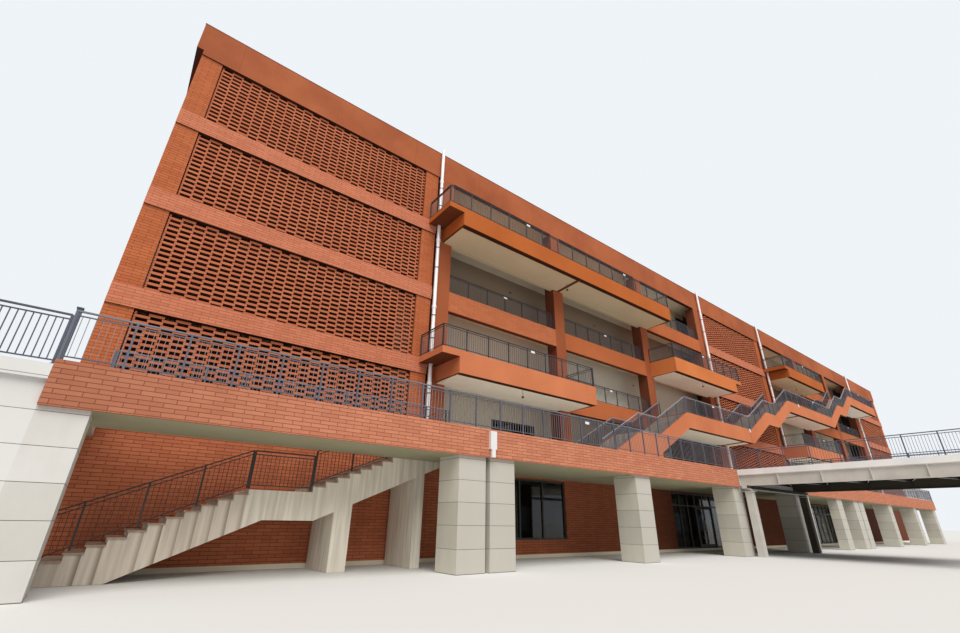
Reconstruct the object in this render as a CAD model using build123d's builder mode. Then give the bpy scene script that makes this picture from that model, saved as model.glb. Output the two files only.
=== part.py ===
from build123d import *
import os

os.makedirs("parts", exist_ok=True)

# School building as a 1:10 model. Sizes are in millimetres of the model. Along the front
# they count from its left end, in depth from the front face (forward is negative), and in
# height from the ground.

# Storeys and the shell
ground_storey = 460
storey = 390
upper_storeys = 4
depth = 1200
outer_wall = 30
floor_slab = 30
ground_plate = 15
inner_wall = 20
corridor = 200

# Bays along the front: brick screens alternate with open galleries, a downpipe between them
screen_bay = 1200
pilaster = 80
band_height = 75
pilaster_setback = 6
screen_setback = 12
screen_thickness = 12
screen_joint = 4
pier = 85
pier_depth = 75
pier_spans = (880, 940, 895)
beam_depth = 110
pipe_joint = 20
pipe_radius = 9
pipe_stand_off = 7
pipe_clearance = 3
pipe_top_above_roof = 110

# Parapet
parapet_rise = 99
parapet_drop = 75
parapet_overhang = 26
end_parapet_drop = 50

# Windows of the rear wall
rear_window = (480, 180)
rear_sill = 90
rear_window_count = 12
pane = 3
pane_lap = 10

# Balconies in front of the open bays. They start before a downpipe and end past a pier;
# the fourth floor's one runs from a pier past a downpipe. Some ends are a thin lip.
projection = 200
deck_depth = 105
lip_depth = 30
soffit_recess = 5
soffit_border = 12
west_lead = 55
east_lead = 40
third_floor_laps = (80, 60)
third_floor_lip = 93
fourth_floor_laps = (60, 60)
fourth_floor_lip = 90
fifth_floor_laps = (100, 90)
fifth_floor_lips = (90, 70)

# The climbing stair: three climbs in front of the building, joined by walkways
climb_start_laps = (100, 70, 80)
climb_end_laps = (100, -210, 10)
top_walkway_lap = 50
climb_landing = 200
climb_risers = 12
stringer = 12
step_waist = 22
step_joint = 0.6
rail_joint = 0.6

# Terrace over the ground floor, with its stairwell
terrace_reach = 463
terrace_depth = 99
terrace_past_pipe = 20
fascia = 12
stairwell_reach = 205

# Stone piers under the terrace: one each side of a downpipe's joint, one in line with each
# inner pier above, and a shallow one in the middle screen bay
stone_pier = (115, 120)
joint_pier_gap = 10
shallow_pier = (115, 65)
shallow_pier_lead = 685
west_pier = 90

# Stair from the ground to the terrace
ground_stair_start = 10
ground_landing_length = 190
upper_flight_run = 510
ground_stair_risers = 14
ground_stair_width = 190
ground_stair_side_gap = 6
ground_stair_waist = 89
landing_depth = 83
tread_board = 4
tread_nosing = 4
prop_wall_past_landing = 80
prop_wall_width = 60
prop_post_before_head = 134
prop_post_width = 38

# Railings
rail_height = 110
terrace_rail_height = 118
rail_pitch = 165
rail_bar = 5
rail_thickness = 4
rail_inset = 4

# Footbridge and the link at the left end
bridge_past_pier = 80
bridge_width = 815
bridge_side_gap = 20
bridge_panels = 5
bridge_panel = 212
bridge_coping = (24, 30)
girder_depth = 62
girder_plate = 4
crossbeam = (8, 28)
bridge_floor = 12
bridge_post = 38
trestle_setback = 45
crosshead = (30, 20)
crosshead_overhang = 40
link_reach = 130
link_slab = (415, 33)

# Entrances in the ground floor's front wall
entrance_height = 352
side_lights = 3
door_leaf = (95, 240)
door_thickness = 6
door_gap = 7
door_rail = 8
door_pane = 3
pivot_radius = 2
pivot_clearance = 0.3
frame_bar = 8
frame_depth = 14
frame_setback = 8

# Fixed glazing: a window in the ground floor's front wall, and glazed screens in the wall
# behind the galleries, each (past the line it starts from, width, height)
ground_sill = 77
light_pitch = 150
gallery_frame_setback = 3
second_floor_screens = ((535, 330, 215), (1935, 240, 215), (2240, 460, 310))
third_floor_screen = (275, 330, 325)
upper_screen = (45, 520, 310)

# Places worked out from the sizes
open_bay = sum(pier_spans) + pier
bay_a = 0
bay_b = bay_a + screen_bay + pipe_joint
bay_c = bay_b + open_bay + pipe_joint
bay_d = bay_c + screen_bay + pipe_joint
bay_e = bay_d + open_bay + pipe_joint
length = bay_e + screen_bay
screen_bays = (bay_a, bay_c, bay_e)
open_bays = (bay_b, bay_d)
levels = [ground_storey + storey * i for i in range(upper_storeys + 1)]
terrace = levels[0]
roof = levels[-1]
pipe_lines = [bay - pipe_joint / 2 for bay in (bay_b, bay_c, bay_d, bay_e)]
pier_offsets = [sum(pier_spans[:i]) for i in range(len(pier_spans) + 1)]
pier_starts = [bay + offset for bay in open_bays for offset in pier_offsets]

# Spans of the decks in front: (start, end, thin lip at the left, thin lip at the right)
west_lead_end = pipe_lines[0] - west_lead
east_lead_end = pipe_lines[2] - east_lead
third_floor_spans = (
    (west_lead_end, pier_starts[1] + third_floor_laps[0], third_floor_lip, 0),
    (east_lead_end, pier_starts[5] + third_floor_laps[1], 0, 0),
)
fourth_floor_start = pier_starts[2] + fourth_floor_laps[0]
fourth_floor_end = pipe_lines[1] + fourth_floor_laps[1]
fourth_floor_spans = ((fourth_floor_start, fourth_floor_end, 0, fourth_floor_lip),)
fifth_floor_spans = (
    (west_lead_end, pier_starts[2] + fifth_floor_laps[0], fifth_floor_lips[0], 0),
    (east_lead_end, pier_starts[5] + fifth_floor_laps[1], fifth_floor_lips[1], 0),
)
climb_start_lines = (pier_starts[1], pipe_lines[1], pier_starts[5])
climb_end_lines = (pier_starts[2], pipe_lines[2], pier_starts[6])
climb_starts = tuple(line + lap for line, lap in zip(climb_start_lines, climb_start_laps))
climb_ends = tuple(line + lap for line, lap in zip(climb_end_lines, climb_end_laps))
top_walkway_end = pipe_lines[3] + top_walkway_lap

# Places on the ground and the terrace
terrace_end = pipe_lines[3] + terrace_past_pipe
stairwell = (west_pier, screen_bay)
ground_stair_end = screen_bay
ground_landing_end = ground_stair_end - upper_flight_run
ground_landing = (ground_landing_end - ground_landing_length, ground_landing_end)
bridge_start = pier_starts[2] + bridge_past_pier
bridge_gap = (bridge_start - bridge_side_gap, bridge_start + bridge_width + bridge_side_gap)
entrances = tuple((pier_starts[i] + pier, pier_starts[i + 1]) for i in (2, 4))
ground_window = (pier_starts[0] + pier, pier_starts[1])
gallery_screens = [
    (bay + past, levels[0], width, height)
    for bay in open_bays
    for past, width, height in second_floor_screens
]
gallery_screens += [
    (pier_starts[5] + pier + third_floor_screen[0], levels[1], *third_floor_screen[1:]),
    (pier_starts[3] + upper_screen[0], levels[2], *upper_screen[1:]),
    (pier_starts[3] + upper_screen[0], levels[3], *upper_screen[1:]),
]

corner = (Align.MIN, Align.MIN)
hanging = (Align.MIN, Align.MAX)
site = Plane((-length / 2, -depth / 2, 0))


def elevation(back):
    """Upright plane parallel to the front, so far behind it, looking forward."""
    return Plane(site.from_local_coords((0, back, 0)), x_dir=(1, 0, 0), z_dir=(0, -1, 0))


def section(along):
    """Upright plane across the building, so far along the front."""
    return Plane(site.from_local_coords((along, 0, 0)), x_dir=(0, 1, 0), z_dir=(1, 0, 0))


def outline(*points):
    """Filled polygon in the current sketch."""
    Polygon(*points, align=None)


def save(piece, name):
    """Label a finished piece and write its file."""
    piece.part.label = name
    export_step(piece.part, f"parts/{name}.step")


# Shell: ground plate, walls, floors, roof and parapet
with BuildPart() as ground_slab:
    with BuildSketch(site):
        Rectangle(length, depth, align=corner)
    extrude(amount=ground_plate)
save(ground_slab, "ground_slab")

wall_starts = [0] + [end for start, end in entrances]
wall_ends = [start for start, end in entrances] + [length]
with BuildPart() as ground_front_wall:
    with BuildSketch(elevation(outer_wall)):
        for start, end in zip(wall_starts, wall_ends):
            with Locations((start, ground_plate)):
                Rectangle(end - start, terrace - ground_plate, align=corner)
        with Locations((ground_window[0], ground_sill)):
            Rectangle(
                ground_window[1] - ground_window[0],
                entrance_height - ground_sill,
                align=corner,
                mode=Mode.SUBTRACT,
            )
    extrude(amount=outer_wall)
save(ground_front_wall, "ground_front_wall")

with BuildPart() as entrance_lintels:
    with BuildSketch(elevation(outer_wall)):
        for start, end in entrances:
            with Locations((start, entrance_height)):
                Rectangle(end - start, terrace - entrance_height, align=corner)
    extrude(amount=outer_wall)
save(entrance_lintels, "entrance_lintels")

window_floors = [0] + levels[:-1]
rear_window_pitch = length / rear_window_count
window_row = (rear_window_count - 1) * rear_window_pitch + rear_window[0]
with BuildPart() as rear_wall:
    with BuildSketch(elevation(depth)):
        with Locations((0, ground_plate)):
            Rectangle(length, roof - parapet_drop - ground_plate, align=corner)
        for floor in window_floors:
            with Locations((length / 2, floor + rear_sill + rear_window[1] / 2)):
                with GridLocations(rear_window_pitch, 0, rear_window_count, 1):
                    Rectangle(*rear_window, mode=Mode.SUBTRACT)
    extrude(amount=outer_wall)
save(rear_wall, "rear_wall")

with BuildPart() as rear_glass:
    with BuildSketch(elevation(depth - outer_wall)):
        for floor in window_floors:
            with Locations((length / 2, floor + rear_sill + rear_window[1] / 2)):
                Rectangle(window_row + 2 * pane_lap, rear_window[1] + 2 * pane_lap)
    extrude(amount=pane)
save(rear_glass, "rear_glass")

with BuildPart() as gable_walls:
    with BuildSketch(site.offset(ground_plate)):
        for start in (0, length - outer_wall):
            with Locations((start, outer_wall)):
                Rectangle(outer_wall, depth - 2 * outer_wall, align=corner)
    extrude(amount=roof - end_parapet_drop - ground_plate)
save(gable_walls, "gable_walls")

floor_names = ("second_floor", "third_floor", "fourth_floor", "fifth_floor", "roof_slab")
for name, level in zip(floor_names, levels):
    with BuildPart() as floor_plate:
        with BuildSketch(site.offset(level - floor_slab)):
            with Locations((outer_wall, outer_wall)):
                Rectangle(length - 2 * outer_wall, depth - 2 * outer_wall, align=corner)
        extrude(amount=floor_slab)
    save(floor_plate, name)

with BuildPart() as corridor_walls:
    with BuildSketch(elevation(corridor + inner_wall)):
        for level in levels[:-1]:
            with Locations((outer_wall, level)):
                Rectangle(length - 2 * outer_wall, storey - floor_slab, align=corner)
        for start, level, width, height in gallery_screens:
            with Locations((start, level)):
                Rectangle(width, height, align=corner, mode=Mode.SUBTRACT)
    extrude(amount=inner_wall)
save(corridor_walls, "corridor_walls")


def glazed_lights(start, bottom, width, height):
    """Equal lights between upright bars: (left, bottom, width, height)."""
    count = max(2, round(width / light_pitch))
    step = (width - frame_bar) / count
    return [
        (start + frame_bar + i * step, bottom + frame_bar, step - frame_bar, height - 2 * frame_bar)
        for i in range(count)
    ]


ground_window_field = (
    ground_window[0],
    ground_sill,
    ground_window[1] - ground_window[0],
    entrance_height - ground_sill,
)
glazed_rows = (
    (frame_setback, [ground_window_field]),
    (corridor + gallery_frame_setback, gallery_screens),
)
with BuildPart() as front_window_frames:
    for setback, fields in glazed_rows:
        with BuildSketch(elevation(setback + frame_depth)):
            for start, bottom, width, height in fields:
                with Locations((start, bottom)):
                    Rectangle(width, height, align=corner)
                for left, low, light, tall in glazed_lights(start, bottom, width, height):
                    with Locations((left, low)):
                        Rectangle(light, tall, align=corner, mode=Mode.SUBTRACT)
        extrude(amount=frame_depth)
save(front_window_frames, "front_window_frames")

with BuildPart() as front_window_glass:
    for setback, fields in glazed_rows:
        with BuildSketch(elevation(setback + (frame_depth + pane) / 2)):
            for field in fields:
                for left, low, light, tall in glazed_lights(*field):
                    with Locations((left, low)):
                        Rectangle(light, tall, align=corner)
        extrude(amount=pane)
save(front_window_glass, "front_window_glass")


def parapet_face():
    """Parapet seen from the front, its ends standing over the gables."""
    with Locations((0, roof - parapet_drop)):
        Rectangle(length, parapet_drop + parapet_rise, align=corner)
    with Locations((-parapet_overhang, roof - end_parapet_drop)):
        Rectangle(
            length + 2 * parapet_overhang, end_parapet_drop + parapet_rise, align=corner
        )


with BuildPart() as front_parapet:
    with BuildSketch(elevation(outer_wall)):
        parapet_face()
    extrude(amount=outer_wall)
save(front_parapet, "front_parapet")

with BuildPart() as rear_parapet:
    with BuildSketch(elevation(depth)):
        parapet_face()
    extrude(amount=outer_wall)
save(rear_parapet, "rear_parapet")

with BuildPart() as end_parapets:
    with BuildSketch(site.offset(roof - end_parapet_drop)):
        for start in (-parapet_overhang, length - outer_wall):
            with Locations((start, outer_wall)):
                Rectangle(
                    outer_wall + parapet_overhang, depth - 2 * outer_wall, align=corner
                )
    extrude(amount=end_parapet_drop + parapet_rise)
save(end_parapets, "end_parapets")

# Screen bays: bands at the floors, pilasters at the sides and a brick screen in each field
with BuildPart() as floor_bands:
    with BuildSketch(elevation(outer_wall)):
        for bay in screen_bays:
            for level in levels[1:-1]:
                with Locations((bay, level)):
                    Rectangle(screen_bay, band_height, align=hanging)
    extrude(amount=outer_wall)
save(floor_bands, "floor_bands")

field_height = storey - band_height
with BuildPart() as pilasters:
    with BuildSketch(elevation(outer_wall)):
        for bay in screen_bays:
            for level in levels[:-1]:
                for start in (bay, bay + screen_bay - pilaster):
                    with Locations((start, level)):
                        Rectangle(pilaster, field_height, align=corner)
    extrude(amount=outer_wall - pilaster_setback)
save(pilasters, "pilasters")

screen_width = screen_bay - 2 * pilaster - 2 * screen_joint
for name, bay in zip(("west_screens", "middle_screens", "east_screens"), screen_bays):
    with BuildPart() as screens:
        with BuildSketch(elevation(screen_setback + screen_thickness)):
            for level in levels[:-1]:
                with Locations((bay + pilaster + screen_joint, level)):
                    Rectangle(screen_width, field_height - screen_joint, align=corner)
        extrude(amount=screen_thickness)
    save(screens, name)

# Open bays: piers through all storeys, with the edge beams between them
with BuildPart() as open_bay_piers:
    for start in pier_starts:
        with BuildSketch(section(start)):
            with Locations((0, terrace)):
                Rectangle(pier_depth, roof - parapet_drop - terrace, align=corner)
            for level in levels[1:-1]:
                with Locations((outer_wall, level)):
                    Rectangle(depth, floor_slab, align=hanging, mode=Mode.SUBTRACT)
        extrude(amount=pier)
save(open_bay_piers, "open_bay_piers")

openings = [
    (bay + offset + pier, span - pier)
    for bay in open_bays
    for offset, span in zip(pier_offsets, pier_spans)
]
with BuildPart() as edge_beams:
    with BuildSketch(elevation(outer_wall)):
        for start, width in openings:
            for level in levels[1:-1]:
                with Locations((start, level)):
                    Rectangle(width, beam_depth, align=hanging)
    extrude(amount=outer_wall)
save(edge_beams, "edge_beams")

pipe_line_depth = -pipe_stand_off - pipe_radius
with BuildPart() as downpipes:
    with BuildSketch(site.offset(terrace)):
        with Locations(*[(line, pipe_line_depth) for line in pipe_lines]):
            Circle(pipe_radius)
    extrude(amount=roof + pipe_top_above_roof - terrace)
save(downpipes, "downpipes")


# Balconies and walkways: deep boxes with a recessed soffit, some with a thin lip at an end
notch_depth = -pipe_line_depth + pipe_radius + pipe_clearance
notch_width = 2 * (pipe_radius + pipe_clearance)


def projecting_decks(spans, deck_levels):
    """Decks in front of the building, notched where a downpipe passes."""
    with BuildPart() as decks:
        with BuildSketch(elevation(0)):
            for (start, end, left_lip, right_lip), level in zip(spans, deck_levels):
                with Locations((start, level)):
                    Rectangle(end - start, lip_depth, align=hanging)
                with Locations((start + left_lip, level)):
                    Rectangle(end - start - left_lip - right_lip, deck_depth, align=hanging)
        extrude(amount=projection)
        for (start, end, left_lip, right_lip), level in zip(spans, deck_levels):
            soffit_length = end - start - left_lip - right_lip - 2 * soffit_border
            soffit_width = projection - 2 * soffit_border - notch_depth
            with BuildSketch(site.offset(level - deck_depth)):
                with Locations((start + left_lip + soffit_border, soffit_border - projection)):
                    Rectangle(soffit_length, soffit_width, align=corner)
            extrude(amount=soffit_recess, mode=Mode.SUBTRACT)
        with BuildSketch(site.offset(roof)):
            with Locations(*[(line, -notch_depth / 2) for line in pipe_lines]):
                Rectangle(notch_width, notch_depth)
        extrude(amount=terrace - roof, mode=Mode.SUBTRACT)
    return decks


walkway_ends = climb_starts[1:] + (top_walkway_end,)
walkway_spans = [(start, end, 0, 0) for start, end in zip(climb_ends, walkway_ends)]
save(projecting_decks(third_floor_spans, [levels[1]] * 2), "third_floor_balconies")
save(projecting_decks(fourth_floor_spans, [levels[2]]), "fourth_floor_balcony")
save(projecting_decks(fifth_floor_spans, [levels[3]] * 2), "fifth_floor_balconies")
save(projecting_decks(walkway_spans, levels[1:]), "walkways")


# Climbing stair: zigzag stringers in front and behind, with the steps between them
def climb_line(start, end, level):
    """Points of a climb's top line: foot, landing's two ends, head."""
    run = (end - start - climb_landing) / 2
    half = level + storey / 2
    return (start, level), (start + run, half), (end - run, half), (end, level + storey)


def lowered(points, drop):
    """The same points lower down, in the other order."""
    return [(along, height - drop) for along, height in reversed(points)]


with BuildPart() as climbing_stringers:
    for start, end, level in zip(climb_starts, climb_ends, levels):
        top_line = climb_line(start, end, level)
        for back in (stringer - projection, 0):
            with BuildSketch(elevation(back)):
                if level == terrace:
                    landing_end = top_line[2][0]
                    outline(*top_line, *lowered(top_line[2:], deck_depth), (landing_end, terrace))
                else:
                    outline(*top_line, *lowered(top_line, deck_depth))
            extrude(amount=stringer)
save(climbing_stringers, "climbing_stringers")


def flight_steps(start, end, foot, rise, risers):
    """Steps of one flight in the current sketch, each with a level top and a sloping back."""
    tread = (end - start) / (risers - 1)
    riser = rise / risers
    for i in range(risers - 1):
        left = start + i * tread + step_joint / 2
        right = left + tread - step_joint
        top = foot + (i + 1) * riser
        low_left = max(top - riser - step_waist, terrace)
        low_right = max(top - step_waist, terrace)
        outline((left, top), (right, top), (right, low_right), (left, low_left))


with BuildPart() as climbing_steps:
    with BuildSketch(elevation(-stringer)):
        for start, end, level in zip(climb_starts, climb_ends, levels):
            foot, landing_start, landing_end, head = climb_line(start, end, level)
            flight_steps(foot[0], landing_start[0], level, storey / 2, climb_risers)
            with Locations(landing_start):
                Rectangle(climb_landing, step_waist, align=hanging)
            flight_steps(landing_end[0], head[0], landing_end[1], storey / 2, climb_risers)
    extrude(amount=projection - 2 * stringer)
save(climbing_steps, "climbing_steps")

# Terrace: a deep deck with a brick fascia, open over the ground stair
terrace_soffit = terrace - terrace_depth
with BuildPart() as terrace_deck:
    with BuildSketch(site.offset(terrace_soffit)):
        with Locations((0, fascia - terrace_reach)):
            Rectangle(terrace_end, terrace_reach - fascia, align=corner)
        with Locations((stairwell[0], -stairwell_reach)):
            Rectangle(
                stairwell[1] - stairwell[0], stairwell_reach, align=corner, mode=Mode.SUBTRACT
            )
    extrude(amount=terrace_depth)
save(terrace_deck, "terrace_deck")

fascia_runs = ((0, bridge_gap[0]), (bridge_gap[1], terrace_end))
with BuildPart() as terrace_fascia:
    with BuildSketch(elevation(fascia - terrace_reach)):
        for start, end in fascia_runs:
            with Locations((start, terrace_soffit)):
                Rectangle(end - start, terrace_depth, align=corner)
    extrude(amount=fascia)
save(terrace_fascia, "terrace_fascia")

inner_pier_starts = [pier_starts[i] + (pier - stone_pier[0]) / 2 for i in (1, 2, 5, 6)]
joint_pier_starts = [line - joint_pier_gap - stone_pier[0] for line in pipe_lines]
joint_pier_starts += [line + joint_pier_gap for line in pipe_lines[:-1]]
pier_front = fascia - terrace_reach
with BuildPart() as stone_piers:
    with BuildSketch(site):
        for start in inner_pier_starts + joint_pier_starts:
            with Locations((start, pier_front)):
                Rectangle(*stone_pier, align=corner)
        with Locations((bay_c + shallow_pier_lead, pier_front)):
            Rectangle(*shallow_pier, align=corner)
        with Locations((0, pier_front)):
            Rectangle(west_pier, stone_pier[1], align=corner)
    extrude(amount=terrace_soffit)
save(stone_piers, "stone_piers")

# Ground stair: two concrete flights with a landing, brown treads on every step
landing_level = terrace / 2
first_tread = (ground_landing[0] - ground_stair_start) / (ground_stair_risers - 1)
second_tread = (ground_stair_end - ground_landing[1]) / (ground_stair_risers - 1)
ground_riser = landing_level / ground_stair_risers
stepped_flights = (
    (ground_stair_start, first_tread, 0),
    (ground_landing[1], second_tread, landing_level),
)
stair_front = -stairwell_reach + ground_stair_side_gap


def sawtooth(start, tread, foot):
    """Top line of a flight, from its first riser's foot to the last riser's head."""
    points = []
    for i in range(ground_stair_risers):
        along = start + i * tread
        points += [(along, foot + i * ground_riser), (along, foot + (i + 1) * ground_riser)]
    return points


slope_foot = ground_stair_start + ground_stair_waist * first_tread / ground_riser
landing_soffit = landing_level - landing_depth
first_slope_end = ground_stair_start + first_tread * (
    (landing_soffit + ground_stair_waist) / ground_riser
)
second_slope_start = ground_landing[1] + second_tread * (
    (landing_soffit + ground_stair_waist - landing_level) / ground_riser
)
head_underside = terrace - ground_riser - ground_stair_waist
with BuildPart() as ground_stair_flights:
    with BuildSketch(elevation(stair_front + ground_stair_width)):
        outline(
            *sawtooth(*stepped_flights[0]),
            *sawtooth(*stepped_flights[1]),
            (ground_stair_end, head_underside),
            (second_slope_start, landing_soffit),
            (first_slope_end, landing_soffit),
            (slope_foot, 0),
        )
    extrude(amount=ground_stair_width)
save(ground_stair_flights, "ground_stair_flights")


with BuildPart() as ground_stair_treads:
    with BuildSketch(elevation(stair_front + ground_stair_width)):
        for start, tread, foot in stepped_flights:
            for i in range(ground_stair_risers - 1):
                with Locations((start + i * tread - tread_nosing, foot + (i + 1) * ground_riser)):
                    Rectangle(tread + tread_nosing, tread_board, align=corner)
    extrude(amount=ground_stair_width + tread_nosing)
save(ground_stair_treads, "ground_stair_treads")

stair_props = (
    (ground_landing_end + prop_wall_past_landing, prop_wall_width),
    (ground_stair_end - prop_post_before_head, prop_post_width),
)


def second_soffit(along):
    """Height of the upper flight's underside at a place along the front."""
    rise = (along - second_slope_start) * ground_riser / second_tread
    return landing_soffit + max(rise, 0)


with BuildPart() as ground_stair_props:
    with BuildSketch(elevation(stair_front + ground_stair_width)):
        for start, width in stair_props:
            end = start + width
            outline((start, 0), (end, 0), (end, second_soffit(end)), (start, second_soffit(start)))
    extrude(amount=ground_stair_width)
save(ground_stair_props, "ground_stair_props")


# Railings: flat frames of posts and rails, drawn where they stand
def railing_run(u0, v0, u1, v1, height=rail_height):
    """One run between two end posts, level or climbing, in the current sketch."""
    slope = (v1 - v0) / (u1 - u0)
    u0, v0 = u0 + rail_joint / 2, v0 + slope * rail_joint / 2
    u1, v1 = u1 - rail_joint / 2, v1 - slope * rail_joint / 2
    bays = max(1, round((u1 - u0) / rail_pitch))
    outline((u0, v0), (u1, v1), (u1, v1 + height), (u0, v0 + height))
    step = (u1 - u0 - rail_bar) / bays
    for i in range(bays):
        left = u0 + rail_bar + i * step
        right = left + step - rail_bar
        low_left = v0 + (left - u0) * slope + rail_bar
        low_right = v0 + (right - u0) * slope + rail_bar
        gap = height - 2 * rail_bar
        Polygon(
            (left, low_left),
            (right, low_right),
            (right, low_right + gap),
            (left, low_left + gap),
            align=None,
            mode=Mode.SUBTRACT,
        )


def is_decked(start, width, spans):
    """Whether a deck stands in front of an opening."""
    middle = start + width / 2
    return any(span[0] < middle < span[1] for span in spans)


floor_decks = (
    third_floor_spans + ((climb_ends[0], walkway_ends[0]),),
    fourth_floor_spans + ((climb_ends[1], walkway_ends[1]),),
    fifth_floor_spans + ((climb_ends[2], walkway_ends[2]),),
)
with BuildPart() as gallery_railings:
    with BuildSketch(elevation(outer_wall / 2 + rail_thickness / 2)):
        for level, spans in zip(levels[1:-1], floor_decks):
            for start, width in openings:
                if not is_decked(start, width, spans):
                    railing_run(start, level, start + width, level)
    extrude(amount=rail_thickness)
save(gallery_railings, "gallery_railings")

deck_edge = rail_inset + rail_thickness - projection
deck_groups = (
    (third_floor_spans, levels[1]),
    (fourth_floor_spans, levels[2]),
    (fifth_floor_spans, levels[3]),
)
with BuildPart() as balcony_railings:
    with BuildSketch(elevation(deck_edge)):
        for spans, level in deck_groups:
            for start, end, left_lip, right_lip in spans:
                railing_run(start + rail_inset, level, end - rail_inset, level)
    extrude(amount=rail_thickness)
    for spans, level in deck_groups:
        for start, end, left_lip, right_lip in spans:
            for along in (start + rail_inset, end - rail_inset - rail_thickness):
                with BuildSketch(section(along)):
                    railing_run(deck_edge, level, 0, level)
                extrude(amount=rail_thickness)
save(balcony_railings, "balcony_railings")

with BuildPart() as climbing_railings:
    with BuildSketch(elevation(deck_edge)):
        for start, end, level, walkway_end in zip(climb_starts, climb_ends, levels, walkway_ends):
            line = climb_line(start, end, level) + ((walkway_end, level + storey),)
            for low, high in zip(line[:-1], line[1:]):
                railing_run(*low, *high)
    extrude(amount=rail_thickness)
    with BuildSketch(elevation(-rail_inset)):
        for start, end, level in zip(climb_starts, climb_ends, levels):
            line = climb_line(start, end, level)
            for low, high in zip(line[:-1], line[1:]):
                railing_run(*low, *high)
    extrude(amount=rail_thickness)
    with BuildSketch(section(top_walkway_end - rail_thickness)):
        railing_run(deck_edge, levels[3], 0, levels[3])
    extrude(amount=rail_thickness)
save(climbing_railings, "climbing_railings")

terrace_edge = rail_inset + rail_thickness - terrace_reach
with BuildPart() as terrace_railings:
    with BuildSketch(elevation(terrace_edge)):
        for start, end in fascia_runs:
            railing_run(start, terrace, end, terrace, terrace_rail_height)
    extrude(amount=rail_thickness)
    with BuildSketch(elevation(-stairwell_reach - rail_inset)):
        railing_run(stairwell[0] - rail_inset, terrace, stairwell[1], terrace)
    extrude(amount=rail_thickness)
    with BuildSketch(section(stairwell[0] - rail_inset - rail_thickness)):
        railing_run(-stairwell_reach, terrace, 0, terrace)
    extrude(amount=rail_thickness)
    with BuildSketch(section(terrace_end - rail_inset - rail_thickness)):
        railing_run(terrace_edge, terrace, 0, terrace, terrace_rail_height)
    extrude(amount=rail_thickness)
save(terrace_railings, "terrace_railings")

ground_rail_lines = (
    (ground_stair_start, ground_riser, ground_landing[0], landing_level),
    (ground_landing[0], landing_level, ground_landing[1], landing_level),
    (ground_landing[1], landing_level + ground_riser, ground_stair_end, terrace),
)
with BuildPart() as ground_stair_railings:
    with BuildSketch(elevation(stair_front + rail_inset + rail_thickness)):
        for start, low, end, high in ground_rail_lines:
            railing_run(
                start - tread_nosing, low + tread_board, end - tread_nosing, high + tread_board
            )
    extrude(amount=rail_thickness)
save(ground_stair_railings, "ground_stair_railings")

# Footbridge: two I-girders under white copings, cross beams, a floor and two trestles
bridge_back = fascia - terrace_reach
bridge_length = bridge_panels * bridge_panel
bridge_front = bridge_back - bridge_length
coping_width, coping_height = bridge_coping
coping_bottom = terrace - coping_height
girder_bottom = coping_bottom - girder_depth
girder_starts = (bridge_start, bridge_start + bridge_width - coping_width)
panel_lines = [bridge_back - bridge_panel * i for i in range(bridge_panels + 1)]

with BuildPart() as bridge_copings:
    with BuildSketch(elevation(bridge_back)):
        for start in girder_starts:
            with Locations((start, coping_bottom)):
                Rectangle(coping_width, coping_height, align=corner)
    extrude(amount=bridge_length)
save(bridge_copings, "bridge_copings")

with BuildPart() as bridge_girders:
    with BuildSketch(elevation(bridge_back)):
        for start in girder_starts:
            for low in (girder_bottom, coping_bottom - girder_plate):
                with Locations((start, low)):
                    Rectangle(coping_width, girder_plate, align=corner)
            with Locations((start + coping_width / 2, girder_bottom + girder_depth / 2)):
                Rectangle(girder_plate, girder_depth)
    extrude(amount=bridge_length)
    with BuildSketch(site.offset(girder_bottom)):
        for start in girder_starts:
            for line in panel_lines[:-1]:
                with Locations((start, line)):
                    Rectangle(coping_width, girder_plate, align=hanging)
            with Locations((start, bridge_front)):
                Rectangle(coping_width, girder_plate, align=corner)
    extrude(amount=girder_depth)
save(bridge_girders, "bridge_girders")

floor_start = bridge_start + coping_width
floor_width = bridge_width - 2 * coping_width
with BuildPart() as bridge_floor_plate:
    with BuildSketch(site.offset(coping_bottom)):
        with Locations((floor_start, bridge_front)):
            Rectangle(floor_width, bridge_length, align=corner)
    extrude(amount=bridge_floor)
save(bridge_floor_plate, "bridge_floor")

beam_width, beam_height = crossbeam
with BuildPart() as bridge_crossbeams:
    with BuildSketch(site.offset(coping_bottom - beam_height)):
        for line in panel_lines[:-1]:
            with Locations((floor_start, line)):
                Rectangle(floor_width, beam_width, align=hanging)
        with Locations((floor_start, bridge_front)):
            Rectangle(floor_width, beam_width, align=corner)
    extrude(amount=beam_height)
save(bridge_crossbeams, "bridge_crossbeams")

crosshead_width, crosshead_height = crosshead
trestle_lines = (bridge_back - trestle_setback, bridge_front + trestle_setback)
post_centres = [start + coping_width / 2 for start in girder_starts]
crosshead_bottom = girder_bottom - crosshead_height
with BuildPart() as bridge_posts:
    with BuildSketch(site):
        with Locations(*[(centre, line) for centre in post_centres for line in trestle_lines]):
            Rectangle(bridge_post, bridge_post)
    extrude(amount=crosshead_bottom)
save(bridge_posts, "bridge_posts")

with BuildPart() as bridge_crossheads:
    with BuildSketch(site.offset(crosshead_bottom)):
        with Locations(*[(sum(post_centres) / 2, line) for line in trestle_lines]):
            Rectangle(
                post_centres[1] - post_centres[0] + bridge_post + 2 * crosshead_overhang,
                crosshead_width,
            )
    extrude(amount=crosshead_height)
save(bridge_crossheads, "bridge_crossheads")

with BuildPart() as bridge_railings:
    for start in girder_starts:
        with BuildSketch(section(start + (coping_width - rail_thickness) / 2)):
            railing_run(bridge_front, terrace, bridge_back, terrace)
        extrude(amount=rail_thickness)
save(bridge_railings, "bridge_railings")

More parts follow.
